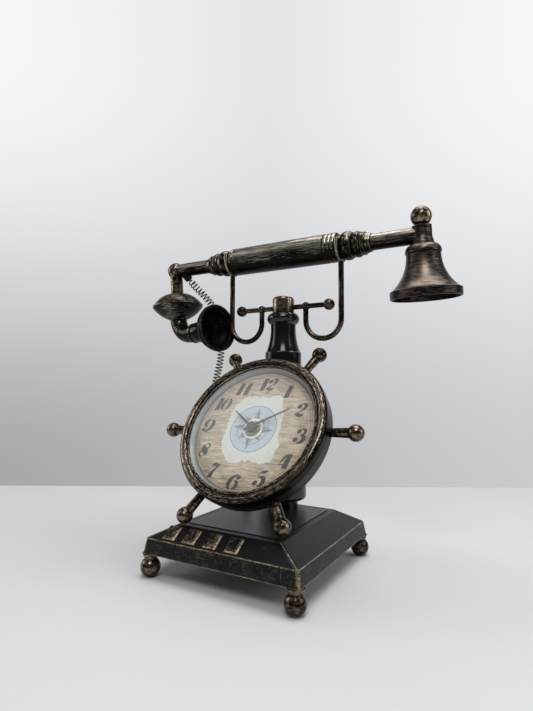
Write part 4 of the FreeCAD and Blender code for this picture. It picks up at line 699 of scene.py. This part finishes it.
# Centre print: a torn scrap of pale rag paper, pasted on the dial, with a plain wind rose printed on it
# in grey-blue and cream inks. It is matt, with a soft frayed edge.
SCRAP_HALF = (22.5 * MM, 26.5 * MM)
SCRAP_STEPS = 220
SCRAP_ROWS = (0.3, 0.65, 1.0)
SCRAP_TURN = math.radians(6)
SCRAP_LIFT = 0.03 * MM
FRAY = 0.07
FRAY_WAVES = (3, 60)
FRAY_FALL = 0.9
ROSE_POINTS = 8
ROSE_LONG, ROSE_SHORT, ROSE_WAIST, ROSE_ROOT = 17.0 * MM, 12.5 * MM, 7.6 * MM, 6.5 * MM
ROSE_GROUND, ROSE_RIM, ROSE_HUB = 18.2 * MM, 18.7 * MM, 8.0 * MM
ROSE_RING = (12.4 * MM, 12.7 * MM)
GROUND_LIFT, HUB_LIFT = 0.04 * MM, 0.08 * MM
torn = np.random.default_rng(7)
angle = np.linspace(0.0, 2 * math.pi, SCRAP_STEPS, endpoint=False)
# A rounded oblong: the sum of the fourth powers of its two shares is one
oblong = (np.abs(np.cos(angle)) ** 4 + np.abs(np.sin(angle)) ** 4) ** -0.25
# Torn edge: waves of ever more and smaller ripples, with random starts
waves = np.arange(*FRAY_WAVES)[:, None]
ripple = np.sin(waves * angle + torn.uniform(0, 2 * math.pi, waves.shape)) / waves ** FRAY_FALL
fray = 1 + FRAY * ripple.sum(axis=0)
edge_line = np.stack([SCRAP_HALF[0] * oblong * fray * np.cos(angle),
                      SCRAP_HALF[1] * oblong * fray * np.sin(angle)], axis=1)
edge_line = np.concatenate([edge_line, edge_line[:1]])
lean = np.array([[math.cos(SCRAP_TURN), math.sin(SCRAP_TURN)],
                 [-math.sin(SCRAP_TURN), math.cos(SCRAP_TURN)]])
scrap_grid = np.stack([edge_line * share for share in SCRAP_ROWS]) @ lean
scrap_paper = flecked("torn_rag_paper", "#b9b6b1", "#d0cecb", fleck=2.5, detail=5.0, dull=0.85)
printed("centre_scrap", [scrap_grid], scrap_paper, lift=SCRAP_LIFT)


def rose_half(index, side):
    """Half of a wind rose's point: from its root by the dial's nut to the tip, by the waist beside it."""
    heading = math.pi / 2 - index * 2 * math.pi / ROSE_POINTS - DIAL_SKEW
    reach = ROSE_LONG if index % 2 == 0 else ROSE_SHORT
    beside = heading + side * math.pi / ROSE_POINTS
    middle = np.array([math.cos(heading), math.sin(heading)])
    flank = np.array([math.cos(beside), math.sin(beside)])
    return np.array([[ROSE_ROOT * middle, reach * middle], [ROSE_ROOT * flank, ROSE_WAIST * flank]])


blue = flecked("grey_blue_printing_ink", "#7f8897", "#98a0ad", **PRINTING_INK)
deep_blue = flecked("deep_grey_blue_printing_ink", "#5f6878", "#7f8896", **PRINTING_INK)
cream = flecked("cream_printing_ink", "#e6dca4", "#f0ead0", **PRINTING_INK)
pale_blue = flecked("pale_grey_blue_printing_ink", "#a6abb4", "#bfc2c7", **PRINTING_INK)
printed("rose_ground", [band(ROSE_ROOT, ROSE_GROUND)], pale_blue, lift=GROUND_LIFT)
printed("rose_pale_halves", [rose_half(index, 1) for index in range(ROSE_POINTS)], blue)
printed("rose_dark_halves", [rose_half(index, -1) for index in range(ROSE_POINTS)], deep_blue)
printed("rose_rings", [band(ROSE_GROUND, ROSE_RIM), band(*ROSE_RING)], deep_blue)
printed("rose_hub", [band(ROSE_ROOT, ROSE_HUB)], cream, lift=HUB_LIFT)


# Hands: two thin steel blades pressed on the movement's pipes. Matt black paint takes their shine away.
# The minute hand's pipe, which shows at the hub, has the same paint.
hand_paint = flecked("matt_black_hand_paint", "#2a2826", "#383532", fleck=0.8, detail=3.0, dull=0.5)
dress(hand_paint, "hour_hand", "minute_hand", "minute_arbor")


# Glass: a flat disc of clear window glass held under the bezel's lip, wiped, with a faint smear here and
# there. Light for the dial passes it without a shadow.
GLASS = "#f4f7f6"
GLASS_IOR = 1.5
SMEAR = 18.0 * MM
SMEAR_FROM, SMEAR_TO = 0.45, 0.8
GLASS_CLEAN, GLASS_SMEARED = 0.01, 0.06
clear_glass, tree, shader = finish("clear_flat_glass")
place = put(tree, "ShaderNodeTexCoord").outputs["Object"]
smear = put(tree, "ShaderNodeTexNoise", {"Vector": place, "Scale": 1 / SMEAR, "Detail": 3.0})
gloss = put(tree, "ShaderNodeMapRange", {"Value": smear, "From Min": SMEAR_FROM, "From Max": SMEAR_TO,
                                         "To Min": GLASS_CLEAN, "To Max": GLASS_SMEARED})
plug(shader, {"Base Color": linear(GLASS), "Transmission Weight": 1.0, "IOR": GLASS_IOR,
              "Roughness": gloss})
shadow = put(tree, "ShaderNodeLightPath").outputs["Is Shadow Ray"]
passing = put(tree, "ShaderNodeBsdfTransparent", {"Color": linear(GLASS)})
pane = put(tree, "ShaderNodeMixShader", {0: shadow, 1: shader, 2: passing})
plug(next(node for node in tree.nodes if node.type == "OUTPUT_MATERIAL"), {"Surface": pane})
dress(clear_glass, "glass")


# Movement: a moulded black plastic tray and cover with one cell, its spring plates, a small board,
# a coil of enamelled copper, and white wheels on the hands' pipes. All are satin, with a fine grain.
GRAIN_RELIEF = 0.03
MOVEMENT = [
    ("moulded_black_abs", "#161617", "#202021", 0.5, (0.4, 0.6),
     ["movement_case", "movement_cover", "setting_knob"]),
    ("lacquered_cell_jacket", "#3b3f47", "#4a4f58", 4.0, (0.2, 0.4), ["battery"]),
    ("green_epoxy_board", "#1f4a33", "#2a5a3f", 1.2, (0.3, 0.5), ["circuit_board"]),
    ("enamelled_copper_winding", "#8a4a24", "#a85f31", 0.4, (0.25, 0.45), ["motor_coil"]),
    ("white_acetal_wheels", "#d8d6cf", "#e4e2dc", 0.6, (0.3, 0.5), ["hour_wheel", "motion_wheel"]),
]
for name, one, other, fleck, dull, pieces in MOVEMENT:
    dress(flecked(name, one, other, fleck, detail=3.0, dull=dull, relief=GRAIN_RELIEF), *pieces)


# Handset: a tube with turned collars, a sleeve for the hand, a bell at the ear and a saucer and cup at
# the mouth, all blackened brass with bronze dragged along the tube and round the turned pieces.
# Bronze is piled on the faces of the tube, grip and collars that turn towards the front lamp: a painted
# highlight over the dragged bronze
PAINTED_HIGHLIGHT_SIDE = (0.0, -0.89, 0.45)
tube_paint = dry_brushed("lengthwise_brushed_bronze", stroke=(14.0, 0.4, 0.4), cover=-0.43, edge=0.2,
                         rub=0.15, under=SMOKED, metal="#d8cfc2", dull=0.26, soft=0.09, patchy=0.15,
                         brush_or_highlight_side=PAINTED_HIGHLIGHT_SIDE, load=0.45)
dress(tube_paint, "handset_tube", "grip")
collar_paint = dry_brushed("round_brushed_bronze_collars", stroke=(0.5, 5.0, 5.0), cover=-0.10, edge=0.4,
                           rub=0.5, under="#0f0d0b", metal="#b8aa98", dull=0.18, patchy=0.2, brush_or_highlight_side=PAINTED_HIGHLIGHT_SIDE,
                           load=0.24)
dress(collar_paint, "collar_left", "collar_right")
# The bell's bronze is piled on its faces towards the front lamp: a painted highlight
bell_paint = dry_brushed("level_brushed_bronze_bell", stroke=(6.0, 6.0, 0.45), cover=-0.22, edge=0.4,
                         rub=0.2, under="#0f0c0a", metal="#7b6e65", dull=0.31, soft=0.14, patchy=0.3,
                         brush_or_highlight_side=(0.1, -0.8, 0.59), load=0.38)
dress(bell_paint, "ear_bell")
# The knobs were rubbed all over and shine, and the bend and its collar show their dark ground
knob_paint = dry_brushed("bright_rubbed_bronze_knobs", stroke=(2.6, 2.6, 1.8), cover=0.42, edge=0.4,
                         rub=0.1, under=DARKENED, metal="#b09d87", dull=0.2, soft=0.2)
dress(knob_paint, "bell_finial", "elbow")
bend_paint = dry_brushed("dark_rubbed_bronze_bend", stroke=(2.0, 2.0, 2.0), cover=0.2, edge=0.4, rub=0.3,
                         under=DARKENED, metal=WARM_BRONZE, dull=0.2, soft=0.16)
dress(bend_paint, "lower_elbow", "mouthpiece_collar")
saucer_paint = dry_brushed("level_brushed_bronze_saucer", stroke=(5.0, 5.0, 0.5), cover=0.24, edge=0.5,
                           rub=0.3, soft=0.14, dull=0.36)
dress(saucer_paint, "saucer_top", "saucer_bottom")
# The cup is dull near-black with almost no shine, but for a little bronze on its rim. This black is partly
# painted shade, standing for the deep shade inside it.
cup_black_and_shade_paint = dry_brushed("black_cup_painted_shade_inside_rubbed_rim", stroke=(2.0, 2.0, 2.0), cover=0.0, edge=0.4, rub=0.2,
                        under="#040404", metal=WARM_BRONZE, sheen=0.0, dull=0.4, shine=0.06)
dress(cup_black_and_shade_paint, "mouthpiece_cup", "cord_socket_handset")


# Cord: one length of blackened steel spring wire, wound to a coil that sags from a ferrule under the
# handset, behind the mouthpiece, to a ferrule on the deck. It is worn to a dull shine in places.
# The route is its centre line in mm.
CORD_ROUTE = [
    (-99.6, 34.5, 228.8), (-93.5, 35.5, 221.6), (-86.4, 41.2, 213.0), (-81.0, 50.0, 202.0),
    (-80.0, 55.5, 188.0), (-79.5, 59.0, 172.0), (-80.5, 60.0, 155.0), (-84.5, 59.0, 138.0),
    (-86.5, 56.5, 120.0), (-83.0, 53.0, 101.0), (-74.0, 49.0, 82.0), (-60.0, 43.0, 66.0),
    (-45.0, 36.0, 58.5), (-34.0, 31.0, 57.0), (-31.0, 30.0, 50.5), (-31.0, 30.0, 41.0),
]
COIL_RADIUS = 2.95 * MM
WIRE = 1.1 * MM
TURNS = 72
STEPS_PER_TURN = 16
COIL_LEAD = 6.0 * MM
WIRE_SIDES = 10
ROUTE_ORDER, ROUTE_STEPS = 3, 24
CORD_BLACK, CORD_WORN = "#242322", "#6f6960"
BACKWARDS = (0.0, 1.0, 0.0)


def smooth_line(name, route):
    """Points along a NURBS spline of that order whose control points are the route's."""
    curve = bpy.data.curves.new(name, "CURVE")
    curve.dimensions = "3D"
    spline = curve.splines.new("NURBS")
    spline.points.add(len(route) - 1)
    weighted = np.pad(np.array(route), ((0, 0), (0, 1)), constant_values=1.0)
    spline.points.foreach_set("co", weighted.ravel())
    spline.order_u = ROUTE_ORDER
    spline.use_endpoint_u = True
    spline.resolution_u = ROUTE_STEPS
    holder = bpy.data.objects.new(name, curve)
    mesh = bpy.data.meshes.new_from_object(holder)
    line = np.empty(len(mesh.vertices) * 3)
    mesh.vertices.foreach_get("co", line)
    bpy.data.objects.remove(holder)
    bpy.data.meshes.remove(mesh)
    return line.reshape(-1, 3)


def evenly(line, count):
    """The line's points taken again at equal distances, with how far along each one lies."""
    along = np.concatenate([[0.0], np.linalg.norm(np.diff(line, axis=0), axis=1).cumsum()])
    reach = np.linspace(0.0, along[-1], count)
    return np.stack([np.interp(reach, along, line[:, axis]) for axis in range(3)], axis=1), reach


def unit(vectors):
    """Vectors shortened or lengthened to one."""
    return vectors / np.linalg.norm(vectors, axis=-1, keepdims=True)


def eased(share):
    """Rises from 0 to 1 with level ends: 3 times the square less 2 times the cube."""
    share = np.clip(share, 0.0, 1.0)
    return share * share * (3 - 2 * share)


control_points = [Vector(point) * MM for point in CORD_ROUTE]
centre_line, along = evenly(smooth_line("cord_route", control_points), TURNS * STEPS_PER_TURN + 1)
# Two directions square to the line. The cord never runs straight back, so the first is square to that too
heading = unit(np.gradient(centre_line, axis=0))
beside = unit(np.cross(heading, BACKWARDS))
above = np.cross(heading, beside)
spin = (2 * math.pi * TURNS * along / along[-1])[:, None]
swell = (COIL_RADIUS * eased(along / COIL_LEAD) * eased((along[-1] - along) / COIL_LEAD))[:, None]
out_of_coil = np.cos(spin) * beside + np.sin(spin) * above
helix = centre_line + swell * out_of_coil

# Circles of the wire's radius carried along the helix, square to it
run = unit(np.gradient(helix, axis=0))
outward = unit(out_of_coil - run * (out_of_coil * run).sum(axis=1, keepdims=True))
level = np.cross(run, outward)
angle = np.linspace(0.0, 2 * math.pi, WIRE_SIDES, endpoint=False)[None, :, None]
circles = np.cos(angle) * outward[:, None] + np.sin(angle) * level[:, None]
wire_grid = helix[:, None] + WIRE / 2 * circles
spring_wire = flecked("blackened_steel_spring_wire", CORD_BLACK, CORD_WORN, fleck=5.0, detail=3.0,
                      dull=(0.25, 0.5), metallic=0.9)
cord = surface("coiled_cord", [wire_grid], spring_wire, closed=(False, True))
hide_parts("cord")
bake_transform(cord)
